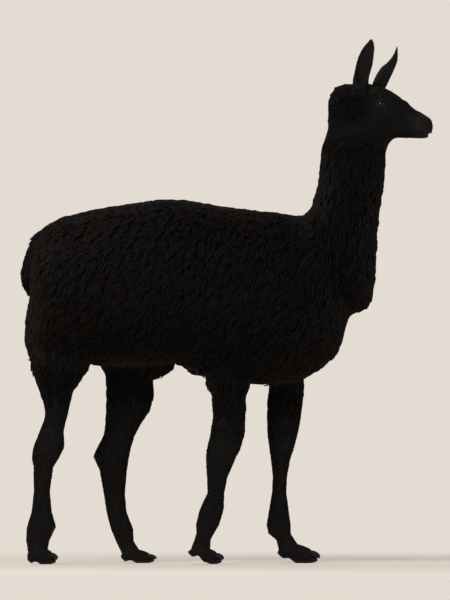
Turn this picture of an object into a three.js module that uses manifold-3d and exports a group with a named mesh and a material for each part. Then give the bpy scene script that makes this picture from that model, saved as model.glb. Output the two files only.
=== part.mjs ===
// A llama in a slow pacing stride: both right legs trail and both left legs reach forward. It is life
// size, in full black wool, and its solids run out to the tips of the coat. The nails and eyes are
// separate pieces.
//
// Millimetres, +Z up, nose towards +X and the left side towards +Y. The origin is on the floor, under
// the middle of the animal's length.
import * as THREE from "three";
import { mergeVertices } from "three/addons/utils/BufferGeometryUtils.js";
import Module from "manifold-3d";

const wasm = await Module();
wasm.setup();

const { smoothstep, degToRad: rad } = THREE.MathUtils;

const GAP = 0.4; // between touching pieces
const WOOL = { color: 0x17120f, roughness: 0.85 };
const FACE_HAIR = { color: 0x1d1713, roughness: 0.7 };
const LEG_HAIR = { color: 0x15110e, roughness: 0.7 };
const EAR_HAIR = { color: 0x1a1411, roughness: 0.8 };
const HORN = { color: 0x2a221c, roughness: 0.4 };
const EYE = { color: 0x090504, roughness: 0.08 };

// ----------------------------------------------------------------------------------------------------
// Hoops and tubes
//
// Every part of the body is a tube through hoops. A hoop is a cross-section: its low point and its
// high point in the side view (x, z), and its half width across the animal. "Low" is the belly side of
// the body and head, and the rear side of a leg or ear. egg widens a hoop towards its high point (or,
// negative, its low one), and skew turns it a little about the upright.

const hoop = (lowX, lowZ, highX, highZ, half, { y = 0, egg = 0, skew = 0 } = {}) => ({
  low: new THREE.Vector3(lowX, y - skew, lowZ),
  high: new THREE.Vector3(highX, y + skew, highZ),
  girth: new THREE.Vector3(half, egg, 0),
});

// The usual section of a tube: an oval, fuller than an ellipse where full is above 2. Its first corner
// is at the low point, or, where start is a half, its first side is.
const oval = ({ segments, full = 2.2, start = 0 }) => (middle, along, girth) =>
  Array.from({ length: segments }, (_, i) => {
    const angle = (2 * Math.PI * (i + start)) / segments;
    const [c, s] = [-Math.cos(angle), Math.sin(angle)].map((v) => Math.sign(v) * Math.abs(v) ** (2 / full));
    const point = middle.clone().addScaledVector(along, c);
    point.y += girth.x * s * (1 + girth.y * c);
    return point;
  });

const middleOf = (ring) =>
  ring.reduce((sum, point) => sum.add(point), new THREE.Vector3()).divideScalar(ring.length);

// One closed mesh from rings of equal length, with a point in the middle of each end.
function skinRings(rings) {
  const count = rings[0].length;
  const points = [...rings.flat(), middleOf(rings[0]), middleOf(rings.at(-1))];
  const [firstCap, lastCap] = [points.length - 2, points.length - 1];
  const lastRing = (rings.length - 1) * count;
  const faces = [];
  for (let i = 0; i < count; i++) {
    const j = (i + 1) % count;
    for (let r = 0; r < lastRing; r += count) {
      faces.push(r + i, r + j, r + count + i, r + j, r + count + j, r + count + i);
    }
    faces.push(firstCap, j, i, lastCap, lastRing + i, lastRing + j);
  }
  return facingOut(new THREE.BufferGeometry().setFromPoints(points).setIndex(faces));
}

// Turns a closed geometry's faces round if they point inwards.
function facingOut(geometry) {
  const { position } = geometry.attributes;
  const index = geometry.index.array;
  const corner = (k) => new THREE.Vector3().fromBufferAttribute(position, index[k]);
  let volume = 0;
  for (let k = 0; k < index.length; k += 3) {
    volume += corner(k).dot(corner(k + 1).cross(corner(k + 2)));
  }
  return volume < 0 ? geometry.setIndex(Array.from(index).reverse()) : geometry;
}

// The tube through hoops[from] to hoops[to], with perSpan rings from each hoop to the next. shape
// moves each point, given the way out of the tube there. lift moves the first ring along the tube, off
// its neighbour.
function tube(hoops, section, { from = 0, to = hoops.length - 1, perSpan = 1, lift = 0, shape } = {}) {
  const [low, high, girth] = ["low", "high", "girth"].map(
    (key) => new THREE.CatmullRomCurve3(hoops.map((h) => h[key]), false, "centripetal"),
  );
  const count = Math.round((to - from) * perSpan);
  const rings = Array.from({ length: count + 1 }, (_, i) => {
    const u = (from + ((to - from) * i) / count) / (hoops.length - 1);
    const [bottom, top] = [low.getPoint(u), high.getPoint(u)];
    const middle = bottom.clone().add(top).multiplyScalar(0.5);
    return section(middle, top.sub(bottom).multiplyScalar(0.5), girth.getPoint(u));
  });
  const forward = middleOf(rings[1]).sub(middleOf(rings[0])).setLength(lift);
  rings[0].forEach((point) => point.add(forward));
  const shaped = (ring) => {
    const middle = middleOf(ring);
    return ring.map((point) => shape(point, point.clone().sub(middle).normalize()));
  };
  return skinRings(shape ? rings.map(shaped) : rings);
}

// How much of a push reaches a point: 1 at the middle of a muscle or hollow, and near 0 past its reach.
const near = (point, [x, y, z], [rx, ry, rz]) =>
  Math.exp(-(((point.x - x) / rx) ** 2) - ((point.y - y) / ry) ** 2 - ((point.z - z) / rz) ** 2);

// ----------------------------------------------------------------------------------------------------
// Solids and meshes

function solidOf(geometry) {
  const bare = new THREE.BufferGeometry().setAttribute("position", geometry.getAttribute("position"));
  bare.setIndex(geometry.index);
  const merged = mergeVertices(bare, 1e-3);
  return new wasm.Manifold(
    new wasm.Mesh({
      numProp: 3,
      vertProperties: merged.attributes.position.array,
      triVerts: new Uint32Array(merged.index.array),
    }),
  );
}

function geometryOf(solid) {
  const { vertProperties, triVerts } = solid.getMesh();
  return new THREE.BufferGeometry()
    .setAttribute("position", new THREE.BufferAttribute(new Float32Array(vertProperties), 3))
    .setIndex(new THREE.BufferAttribute(new Uint32Array(triVerts), 1));
}

// The geometry, swollen by the gap: what a neighbour is cut with.
function clearanceOf(geometry) {
  const swollen = geometry.clone();
  swollen.computeVertexNormals();
  const { position, normal } = swollen.attributes;
  const [point, outward] = [new THREE.Vector3(), new THREE.Vector3()];
  for (let i = 0; i < position.count; i++) {
    point.fromBufferAttribute(position, i);
    point.addScaledVector(outward.fromBufferAttribute(normal, i), GAP);
    position.setXYZ(i, point.x, point.y, point.z);
  }
  return solidOf(swollen);
}

// The largest body of a cut solid: slivers that a cut leaves are dropped.
const largest = (solid) => solid.decompose().sort((a, b) => b.volume() - a.volume())[0];

const llama = new THREE.Group();

function add(name, geometry, { color, roughness }) {
  const material = new THREE.MeshStandardMaterial({ color, roughness, metalness: 0, flatShading: true });
  const mesh = new THREE.Mesh(geometry, material);
  mesh.name = name;
  llama.add(mesh);
}

// ----------------------------------------------------------------------------------------------------
// Body: one tube from the breeches over the back, up the neck and out to the nose

const TRUNK_HOOPS = [
  hoop(-452, 668, -651, 668, 112), // breeches
  hoop(-442, 660, -668, 762, 166),
  hoop(-436, 656, -652, 905, 190, { egg: 0.04 }), // point of the buttock
  hoop(-430, 654, -634, 1052, 202, { egg: 0.02 }),
  hoop(-415, 653, -574, 1127, 211), // croup
  hoop(-345, 651, -450, 1165, 220),
  hoop(-245, 651, -250, 1197, 226), // loin
  hoop(-158, 654, -150, 1200, 228),
  hoop(-92, 617, -60, 1187, 228), // ribs
  hoop(60, 593, 65, 1168, 220),
  hoop(190, 595, 180, 1157, 200), // withers
  hoop(290, 628, 238, 1153, 178),
  hoop(369, 702, 259, 1160, 160), // breastbone
  hoop(400, 788, 268, 1170, 150),
];
const NECK_HOOPS = [
  hoop(420, 822, 275, 1179, 145), // where the neck's wool apron hangs over the chest
  hoop(471, 850, 280, 1188, 138), // apron
  hoop(490, 940, 286, 1203, 128),
  hoop(496, 1060, 291, 1220, 118),
  hoop(510, 1185, 298, 1246, 107),
  hoop(521, 1275, 305, 1290, 99),
  hoop(526, 1335, 310, 1345, 94),
];
const HEAD_HOOPS = [
  hoop(528, 1362, 316, 1392, 90), // throat
  hoop(534, 1382, 331, 1437, 85),
  hoop(545, 1395, 332, 1488, 81, { egg: 0.02 }), // back of the skull
  hoop(554, 1401, 335, 1537, 77, { egg: 0.04 }),
  hoop(562, 1403, 362, 1576, 74, { egg: 0.06 }),
  hoop(568, 1404, 430, 1587, 72, { egg: 0.1 }), // poll
  hoop(575, 1404, 514, 1573, 69, { egg: 0.16 }), // brow
  hoop(588, 1403, 567, 1543, 58, { egg: 0.1 }),
  hoop(606, 1403, 605, 1512, 45, { egg: 0.02 }), // bridge of the nose
  hoop(626, 1402, 640, 1491, 38),
  hoop(652, 1402, 669, 1470, 35), // nostrils
  hoop(667, 1407, 681, 1452, 27),
  hoop(675, 1416, 683, 1438, 14), // upper lip
];
const BODY_HOOPS = [...TRUNK_HOOPS, ...NECK_HOOPS, ...HEAD_HOOPS];
const NECK_START = TRUNK_HOOPS.length;
const HEAD_START = NECK_START + NECK_HOOPS.length;
const ROUND_BODY = oval({ segments: 28 });

// The head is turned a little to the animal's right, and the top of the neck turns with it.
const HEAD_TURN = rad(-11);
const TURN_AXIS_X = 415;
const TURN_FROM = 1180;
const TURN_FULL = 1400;
function turned(point) {
  const angle = HEAD_TURN * smoothstep(point.z, TURN_FROM, TURN_FULL);
  const pivot = new THREE.Vector3(TURN_AXIS_X, 0, 0);
  return point.sub(pivot).applyAxisAngle(new THREE.Vector3(0, 0, 1), angle).add(pivot);
}

// Haunches and shoulders under the wool: middle, reach and push. The left ones sit further forward.
const MUSCLES = [
  { at: [-540, -215, 800], reach: [130, 110, 190], push: 22 }, // right haunch
  { at: [-430, 215, 790], reach: [140, 110, 200], push: 18 }, // left haunch
  { at: [110, -205, 800], reach: [120, 110, 190], push: 16 }, // right shoulder
  { at: [190, 205, 800], reach: [120, 110, 190], push: 16 }, // left shoulder
];

function fleshed(point, outward) {
  const push = MUSCLES.reduce((sum, m) => sum + m.push * near(point, m.at, m.reach), 0);
  return point.addScaledVector(outward, push);
}

// The face, as mirrored pairs: brow and cheek stand out, and the sides fall in before the eye and the
// nose.
const EYE_X = 521;
const EYE_Z = 1512;
const FACE = [
  { at: [EYE_X - 4, 66, EYE_Z + 29], reach: [30, 24, 13], push: 7 }, // brow
  { at: [EYE_X + 38, 60, EYE_Z - 4], reach: [24, 24, 20], push: -5 }, // tear hollow
  { at: [EYE_X - 28, 74, EYE_Z - 52], reach: [42, 26, 34], push: 7 }, // cheek
  { at: [604, 46, 1450], reach: [22, 22, 26], push: -4 }, // side of the nose
  { at: [658, 30, 1461], reach: [13, 14, 12], push: 5 }, // nostril wing
  { at: [648, 30, 1436], reach: [22, 16, 12], push: 4 }, // upper lip
];

function faced(point, outward) {
  const push = FACE.reduce(
    (sum, { at: [x, y, z], reach, push: most }) =>
      sum + most * (near(point, [x, y, z], reach) + near(point, [x, -y, z], reach)),
    0,
  );
  return turned(point.addScaledVector(outward, push));
}

const trunk = tube(BODY_HOOPS, ROUND_BODY, { to: NECK_START, perSpan: 2, shape: fleshed });
const trunkClearance = clearanceOf(trunk);
const neckOptions = { from: NECK_START, to: HEAD_START, perSpan: 2, lift: GAP, shape: turned };
const neck = tube(BODY_HOOPS, ROUND_BODY, neckOptions);
const skull = tube(BODY_HOOPS, ROUND_BODY, { from: HEAD_START, perSpan: 2, lift: GAP, shape: faced });

add("trunk", trunk, WOOL);
add("neck", neck, WOOL);

// ----------------------------------------------------------------------------------------------------
// Eyes, set in sockets

const EYE_RADIUS = 21;
const EYE_OUT = 57; // from the middle of the head to the middle of the eyeball

function eyeball(side, radius) {
  const centre = turned(new THREE.Vector3(EYE_X, side * EYE_OUT, EYE_Z));
  const ball = new THREE.SphereGeometry(radius, 12, 8).toNonIndexed();
  ball.deleteAttribute("normal");
  ball.deleteAttribute("uv");
  return mergeVertices(ball, 1e-3).translate(centre.x, centre.y, centre.z);
}

let head = solidOf(skull);
for (const [name, side] of [["eye_right", -1], ["eye_left", 1]]) {
  head = head.subtract(solidOf(eyeball(side, EYE_RADIUS + GAP)));
  add(name, eyeball(side, EYE_RADIUS), EYE);
}

// ----------------------------------------------------------------------------------------------------
// Mouth: a thin closed cut from the lips back to the corner parts the lower jaw from the head

const MOUTH_CORNER_X = 596;
const MOUTH_FRONT_X = 700;
const JAW_BACK_X = 572;
const JAW_HALF = 90;

// A prism across the head over the outline (x, z), turned with the head.
function headPrism(outline) {
  const shape = new THREE.Shape(outline.map(([x, z]) => new THREE.Vector2(x, z)));
  const prism = new THREE.ExtrudeGeometry(shape, { depth: 2 * JAW_HALF, bevelEnabled: false });
  prism.deleteAttribute("normal");
  prism.deleteAttribute("uv");
  prism.rotateX(Math.PI / 2).translate(0, JAW_HALF, 0);
  const merged = mergeVertices(prism, 1e-3);
  const { position } = merged.attributes;
  for (let i = 0; i < position.count; i++) {
    const moved = turned(new THREE.Vector3().fromBufferAttribute(position, i));
    position.setXYZ(i, moved.x, moved.y, moved.z);
  }
  return solidOf(facingOut(merged));
}

// The lower jaw from the side: along the lips from the chin to the corner, then down behind it.
const UNDER_CHIN_Z = 1390;
const lipLine = [
  [MOUTH_FRONT_X, 1416],
  [667, 1416],
  [663, 1422],
  [648, 1424],
  [622, 1429],
  [MOUTH_CORNER_X, 1431],
];
const jawBack = [
  [JAW_BACK_X, 1424],
  [JAW_BACK_X - 10, UNDER_CHIN_Z],
];
const jawFront = [MOUTH_FRONT_X, UNDER_CHIN_Z];
const jawRegion = headPrism([...lipLine, ...jawBack, jawFront]);
const jawClearance = headPrism([
  ...lipLine.map(([x, z]) => [x, z + GAP]),
  ...jawBack.map(([x, z]) => [x - GAP, z + GAP]),
  jawFront,
]);

// The chin stops short of the upper lip.
const chinTrim = headPrism([
  [662, UNDER_CHIN_Z],
  jawFront,
  [MOUTH_FRONT_X, 1424],
  [663, 1424],
  [664, 1412],
]);

add("lower_jaw", geometryOf(largest(head.intersect(jawRegion).subtract(chinTrim))), FACE_HAIR);
head = largest(head.subtract(jawClearance));
add("head", geometryOf(head), FACE_HAIR);

// ----------------------------------------------------------------------------------------------------
// Ears: long curved leaves, hollowed on the side that faces out and forward. Each hoop's half width is
// the height of the leaf's rounded back, and its egg is the share of that which is hollowed out.

const EAR_WALL_POINTS = 7; // across the back, and as many across the hollow

// The section of a leaf whose back bulges towards side (+1 is the animal's left).
const leaf = (side) => (middle, along, girth) => {
  const arc = (depth) =>
    Array.from({ length: EAR_WALL_POINTS }, (_, i) => {
      const angle = (Math.PI * (i + 0.5)) / EAR_WALL_POINTS;
      const point = middle.clone().addScaledVector(along, -Math.cos(angle));
      point.y += side * (depth * Math.sin(angle) - 0.4 * girth.x);
      return point;
    });
  return [...arc(girth.x), ...arc(girth.x * (1 - girth.y)).reverse()];
};

const RIGHT_EAR = [
  hoop(440, 1535, 474, 1535, 20, { y: -34, egg: 1.9, skew: 6 }),
  hoop(424, 1580, 476, 1582, 26, { y: -47, egg: 1.7, skew: 9 }),
  hoop(430, 1605, 480, 1608, 27, { y: -56, egg: 1.1, skew: 11 }),
  hoop(438, 1640, 492, 1640, 26, { y: -64, egg: 0.5, skew: 13 }), // widest
  hoop(447, 1671, 497, 1672, 22, { y: -66, egg: 0.42, skew: 12 }),
  hoop(461, 1700, 499, 1702, 16, { y: -63, egg: 0.42, skew: 9 }),
  hoop(476, 1719, 496, 1720, 9, { y: -60, egg: 0.45, skew: 5 }),
  hoop(485, 1729, 490, 1729, 4, { y: -59, egg: 0.5, skew: 1 }),
];
const LEFT_EAR = [
  hoop(452, 1525, 484, 1518, 20, { y: 34, egg: 1.9, skew: -6 }),
  hoop(466, 1580, 514, 1566, 26, { y: 47, egg: 1.7, skew: -9 }),
  hoop(475, 1604, 526, 1592, 27, { y: 56, egg: 1.1, skew: -11 }),
  hoop(491, 1635, 543, 1626, 25, { y: 63, egg: 0.5, skew: -12 }), // widest
  hoop(517, 1657, 556, 1657, 20, { y: 65, egg: 0.42, skew: -11 }),
  hoop(537, 1680, 559, 1682, 14, { y: 62, egg: 0.42, skew: -8 }),
  hoop(547, 1698, 557, 1699, 8, { y: 58, egg: 0.45, skew: -4 }),
  hoop(553, 1710, 555, 1710, 3, { y: 56, egg: 0.5, skew: -1 }),
];

const skullClearance = clearanceOf(skull);
for (const [name, hoops, side] of [["ear_right", RIGHT_EAR, 1], ["ear_left", LEFT_EAR, -1]]) {
  const whole = solidOf(tube(hoops, leaf(side), { perSpan: 1.5, shape: turned }));
  add(name, geometryOf(largest(whole.subtract(skullClearance))), EAR_HAIR);
}

// ----------------------------------------------------------------------------------------------------
// Tail: a short brush that hangs against the rump

const TAIL_HOOPS = [
  hoop(-545, 1075, -583, 1123, 28),
  hoop(-588, 1042, -633, 1086, 40),
  hoop(-614, 985, -664, 1026, 46), // widest
  hoop(-630, 935, -679.5, 958, 43),
  hoop(-640, 912, -675, 917, 32),
  hoop(-649, 904, -664, 905, 14),
];
const tail = solidOf(tube(TAIL_HOOPS, oval({ segments: 14, full: 2 }), { perSpan: 2 }));
add("tail", geometryOf(largest(tail.subtract(trunkClearance))), WOOL);

// ----------------------------------------------------------------------------------------------------
// Legs. Half widths across the leg are shared by the two legs of a pair. Each leg then has its own
// stride: the height of each landmark, and its rear and front edges, in the side view.

const HIND_HALF = {
  haunch: 74,
  thigh: 84,
  skirt: 80,
  stifle: 74,
  gaskin: 58,
  shankTop: 46,
  shank: 38,
  hockTop: 35,
  hock: 34,
  hockPoint: 31,
  cannonTop: 26,
  cannon: 23,
  ankle: 25,
  fetlock: 30,
  pastern: 27,
};
const FORE_HALF = {
  shoulder: 66,
  elbow: 64,
  forearm: 54,
  forearmLow: 46,
  kneeTop: 41,
  knee: 38,
  kneeLow: 32,
  cannonTop: 27,
  cannon: 22,
  ankle: 24,
  fetlock: 29,
  fetlockLow: 28,
  pastern: 26,
};

const LEGS = {
  hind_right: {
    side: -1,
    hip: 92,
    sole: 112,
    half: HIND_HALF,
    split: ["hockTop", "fetlock"],
    at: {
      haunch: [775, -640, -443],
      thigh: [660, -648, -442],
      skirt: [632, -638, -463],
      stifle: [606, -630, -479],
      gaskin: [570, -617, -505],
      shankTop: [530, -604, -516],
      shank: [492, -598, -523],
      hockTop: [435, -619, -536],
      hock: [385, -637, -535],
      hockPoint: [350, -642, -552],
      cannonTop: [320, -636, -571],
      cannon: [240, -635, -583],
      ankle: [175, -642, -577],
      fetlock: [122, -658, -562],
      pastern: [80, -660, -584],
    },
    foot: { heel: -655, tip: -556, top: 60, lift: 0, flat: 0.15 },
  },
  hind_left: {
    side: 1,
    hip: 92,
    sole: 108,
    half: HIND_HALF,
    split: ["hockTop", "fetlock"],
    at: {
      haunch: [775, -470, -190],
      thigh: [658, -422, -164],
      skirt: [632, -407, -194],
      stifle: [608, -402, -240],
      gaskin: [560, -400, -241],
      shankTop: [510, -401, -252],
      shank: [470, -405, -277],
      hockTop: [420, -412, -304],
      hock: [380, -431, -318],
      hockPoint: [352, -444, -324],
      cannonTop: [310, -423, -331],
      cannon: [230, -408, -338],
      ankle: [170, -399, -333],
      fetlock: [115, -385, -312],
      pastern: [72, -367, -310],
    },
    foot: { heel: -350, tip: -233, top: 47, lift: 3, flat: 0.5 },
  },
  fore_right: {
    side: -1,
    hip: 88,
    sole: 92,
    half: FORE_HALF,
    split: ["knee", "fetlock"],
    at: {
      shoulder: [720, -70, 125],
      elbow: [605, -73, 87],
      forearm: [560, -52, 66],
      forearmLow: [490, -46, 60],
      kneeTop: [430, -56, 60],
      knee: [385, -67, 48],
      kneeLow: [340, -70, 25],
      cannonTop: [285, -66, 1],
      cannon: [235, -64, -9],
      ankle: [180, -90, -11],
      fetlock: [132, -102, -25],
      fetlockLow: [104, -100, -42],
      pastern: [82, -106, -54],
    },
    foot: { heel: -127, tip: -10, top: 58, lift: 22, flat: 0.7 },
  },
  fore_left: {
    side: 1,
    hip: 88,
    sole: 92,
    half: FORE_HALF,
    split: ["knee", "fetlock"],
    at: {
      shoulder: [720, 130, 270],
      elbow: [610, 140, 257],
      forearm: [550, 135, 252],
      forearmLow: [490, 132, 245],
      kneeTop: [430, 132, 236],
      knee: [385, 138, 224],
      kneeLow: [340, 146, 208],
      cannonTop: [285, 152, 198],
      cannon: [235, 149, 196],
      ankle: [180, 140, 203],
      fetlock: [128, 131, 210],
      fetlockLow: [98, 137, 210],
      pastern: [78, 163, 222],
    },
    foot: { heel: 168, tip: 308, top: 66, lift: 17, flat: 0.5 },
  },
};

const LEG_TOP = 800;
const ROUND_LEG = oval({ segments: 14, full: 2.1 });
const ROUND_TOE = oval({ segments: 8, full: 2.4, start: 0.5 });
const TOE_HALF = 20;
const TOE_SPREAD = 20; // from the middle of the foot to the middle of each toe
const TOE_SPLAY = rad(5);

function legHoops({ side, hip, sole, half, at, foot }) {
  const hoops = Object.entries(at).map(([landmark, [z, rear, front]]) => {
    const y = side * THREE.MathUtils.lerp(sole, hip, Math.min(1, z / LEG_TOP));
    return hoop(rear, z, front, z, half[landmark], { y });
  });
  const length = foot.tip - foot.heel;
  const z = 24 + 0.7 * foot.lift; // inside the toes
  const [rear, front] = [0.04, 0.6].map((share) => foot.heel + share * length);
  return [...hoops, hoop(rear, z, front, z, half.pastern, { y: side * sole })];
}

// One toe from heel to nail tip, as [share of the foot's length, underside, top side, half width],
// with the top and half width as shares. A raised heel comes down to the floor at the share called
// flat.
const TOE = [
  [0, 14, 0.6, 0.45],
  [0.12, 1, 0.9, 0.85],
  [0.27, 9, 1, 0.96], // arch behind the pad
  [0.42, -4, 1, 1],
  [0.62, -4, 0.86, 1],
  [0.78, -3, 0.7, 0.86], // nail bed
  [0.92, 1, 0.52, 0.62],
  [1, 12, 0.38, 0.2],
];
const NAIL_BED = 5;
function toe({ side, sole, foot: { heel, tip, top, lift, flat } }, outer, range) {
  const middle = (heel + tip) / 2;
  const hoops = TOE.map(([share, low, high, half]) => {
    const x = heel + share * (tip - heel) - middle;
    const rise = lift * (1 - smoothstep(share, flat - 0.5, flat));
    return hoop(x, low + rise, x, Math.max(high * top, low + rise + 6), half * TOE_HALF);
  });
  const onFloor = (point) => point.setZ(Math.max(point.z, 0));
  const straight = tube(hoops, ROUND_TOE, { ...range, shape: onFloor });
  return straight.rotateZ(outer * TOE_SPLAY).translate(middle, side * sole + outer * TOE_SPREAD, 0);
}

for (const [legName, leg] of Object.entries(LEGS)) {
  const hoops = legHoops(leg);
  const [upperEnd, lowerEnd] = leg.split.map((landmark) => Object.keys(leg.at).indexOf(landmark));
  const upper = solidOf(tube(hoops, ROUND_LEG, { to: upperEnd })).subtract(trunkClearance);
  const lower = tube(hoops, ROUND_LEG, { from: upperEnd, to: lowerEnd, lift: GAP });
  const upperName = legName.startsWith("hind") ? "thigh" : "forearm";
  add(`${legName}_${upperName}`, geometryOf(largest(upper)), LEG_HAIR);
  add(`${legName}_cannon`, lower, LEG_HAIR);

  let foot = solidOf(tube(hoops, ROUND_LEG, { from: lowerEnd, lift: GAP }));
  for (const [toeName, outer] of [["outer", leg.side], ["inner", -leg.side]]) {
    const nail = toe(leg, outer, { from: NAIL_BED, perSpan: 1.5, lift: GAP });
    foot = foot.add(solidOf(toe(leg, outer, { to: NAIL_BED })));
    add(`${legName}_nail_${toeName}`, nail, HORN);
  }
  add(`${legName}_foot`, geometryOf(largest(foot)), LEG_HAIR);
}

export default llama;
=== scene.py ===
"""Dresses the llama's solids: one skin, wool in locks, short hair in tufts, eyes, lashes and nails."""
import math
from functools import partial

import bmesh
import bpy
import numpy as np
from bpy.props import FloatProperty, FloatVectorProperty, IntProperty, PointerProperty
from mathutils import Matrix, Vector
from mathutils.bvhtree import BVHTree


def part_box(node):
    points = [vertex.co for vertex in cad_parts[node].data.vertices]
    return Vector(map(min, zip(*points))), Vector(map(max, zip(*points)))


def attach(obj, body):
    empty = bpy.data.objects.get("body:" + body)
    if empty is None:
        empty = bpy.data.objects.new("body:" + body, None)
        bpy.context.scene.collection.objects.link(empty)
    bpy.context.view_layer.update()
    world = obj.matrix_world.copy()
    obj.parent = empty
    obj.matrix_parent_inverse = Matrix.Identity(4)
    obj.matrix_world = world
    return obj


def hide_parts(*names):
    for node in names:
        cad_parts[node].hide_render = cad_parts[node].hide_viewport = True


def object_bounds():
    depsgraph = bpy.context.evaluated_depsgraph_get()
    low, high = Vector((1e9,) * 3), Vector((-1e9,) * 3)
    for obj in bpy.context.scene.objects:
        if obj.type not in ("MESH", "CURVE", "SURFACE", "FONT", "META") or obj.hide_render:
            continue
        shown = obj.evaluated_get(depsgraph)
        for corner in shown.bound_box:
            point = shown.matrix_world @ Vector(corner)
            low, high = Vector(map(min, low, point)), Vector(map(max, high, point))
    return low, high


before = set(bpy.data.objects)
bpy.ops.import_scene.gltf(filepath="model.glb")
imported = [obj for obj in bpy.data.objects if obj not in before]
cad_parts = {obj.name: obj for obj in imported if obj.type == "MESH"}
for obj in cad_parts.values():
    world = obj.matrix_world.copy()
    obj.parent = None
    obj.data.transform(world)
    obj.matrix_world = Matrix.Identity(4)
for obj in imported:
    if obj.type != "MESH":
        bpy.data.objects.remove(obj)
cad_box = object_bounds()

bl_info = {
    "name": "Black llama",
    "version": (1, 0, 0),
    "blender": (4, 5, 0),
    "location": "View3D > Sidebar > Llama",
    "description": "Gives the llama's solids their skin, wool, hair, eyes and nails",
    "category": "Add Mesh",
}

MM = 0.001
NODES = list(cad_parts)
EYES = {"eye_right": -1, "eye_left": 1}
NAILS = [name for name in NODES if "_nail_" in name]
FLESH = [name for name in NODES if name not in EYES and name not in NAILS]
UPPER_LEGS = [name for name in FLESH if name.endswith(("_thigh", "_forearm"))]
CANNONS = [name for name in FLESH if name.endswith("_cannon")]
FEET = [name for name in FLESH if name.endswith("_foot")]
EARS = ["ear_right", "ear_left"]


def low_high(name):
    """A node's lowest and highest corners."""
    return [np.array(corner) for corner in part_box(name)]


def among(nodes, *names):
    """Which of the node numbers belong to the named nodes."""
    return np.isin(nodes, [FLESH.index(name) for name in names])


def rise_in(node, points):
    """How far up a node each point lies: 0 at its bottom and 1 at its top."""
    low, high = low_high(node)
    return (points[:, 2] - low[2]) / (high[2] - low[2])


# --- The head's own directions, from its two eyes ---

eye_middles = {name: sum(low_high(name)) / 2 for name in EYES}
EYE_RADIUS = (low_high("eye_left")[1] - low_high("eye_left")[0])[2] / 2
UP = np.array([0.0, 0.0, 1.0])
BETWEEN_EYES = (eye_middles["eye_left"] + eye_middles["eye_right"]) / 2
HEAD_LEFT = eye_middles["eye_left"] - eye_middles["eye_right"]
HEAD_LEFT = HEAD_LEFT / np.linalg.norm(HEAD_LEFT)
HEAD_FORWARD = np.cross(HEAD_LEFT, UP)
HEAD_AXES = np.array([HEAD_FORWARD, HEAD_LEFT, UP])


def in_head(points):
    """Points as forward, left and up from between the eyes, in millimetres."""
    return (points - BETWEEN_EYES) @ HEAD_AXES.T / MM


def mirrored(head):
    """Points of the head, with those of its right half taken over to its left."""
    return np.where([False, True, False], np.abs(head), head)


# --- Numbers over a surface ---


def lengths(vectors):
    """The length of each vector."""
    return np.linalg.norm(vectors, axis=1)


def unit(vectors):
    """Vectors at length 1."""
    return vectors / np.maximum(np.linalg.norm(vectors, axis=-1, keepdims=True), 1e-12)


def tangent(vectors, normals):
    """Vectors laid flat on the surface."""
    return vectors - (vectors * normals).sum(axis=1, keepdims=True) * normals


def ease(value, start, end):
    """0 at start and 1 at end, with no corner at either."""
    share = np.clip((value - start) / (end - start), 0, 1)
    return share * share * (3 - 2 * share)


def hump(distance, reach):
    """1 at no distance, falling smoothly to near 0 at twice the reach."""
    return np.exp(-((distance / reach) ** 2))


def gathered(index, values, count):
    """The sum of values at each index."""
    if values.ndim == 1:
        return np.bincount(index, values, count)
    return np.stack([np.bincount(index, column, count) for column in values.T], axis=1)


def corners_of(points, faces):
    """The triangles' first corners, their second and their third."""
    return (points[faces[:, k]] for k in range(3))


def ways_out(points, faces):
    """The way out of each triangle, as long as it is large."""
    a, b, c = corners_of(points, faces)
    return np.cross(b - a, c - a)


def surface_normals(points, faces):
    """The way out of the surface at each point."""
    return unit(gathered(faces.ravel(), np.repeat(ways_out(points, faces), 3, axis=0), len(points)))


def turned_out(points, faces):
    """The triangles of a closed surface, facing outwards."""
    faces = np.array(faces)
    a, b, c = corners_of(np.asarray(points), faces)
    return faces[:, ::-1] if (a * np.cross(b, c)).sum() < 0 else faces


def edges_of(faces, count):
    """Each edge once, as two point numbers."""
    ends = np.sort(faces[:, [0, 1, 1, 2, 2, 0]].reshape(-1, 2), axis=1)
    keys = np.unique(ends[:, 0].astype(np.int64) * count + ends[:, 1])
    return np.stack([keys // count, keys % count], axis=1)


def spread(field, edges, rounds, share=0.5):
    """Evens a field out over the surface: each round moves a point's value towards its neighbours' mean."""
    count = len(field)
    around = np.concatenate([edges[:, 0], edges[:, 1]])
    other = np.concatenate([edges[:, 1], edges[:, 0]])
    many = np.maximum(np.bincount(around, minlength=count), 1)
    many = many if field.ndim == 1 else many[:, None]
    for _ in range(rounds):
        field = field + share * (gathered(around, field[other], count) / many - field)
    return field


def evened(points, edges, rounds, weight):
    """Points with small dents and ridges taken out, and the broad shape kept."""
    for _ in range(rounds):
        for share in (0.5, -0.52):
            points = points + weight[:, None] * (spread(points, edges, 1, share) - points)
    return points


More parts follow.
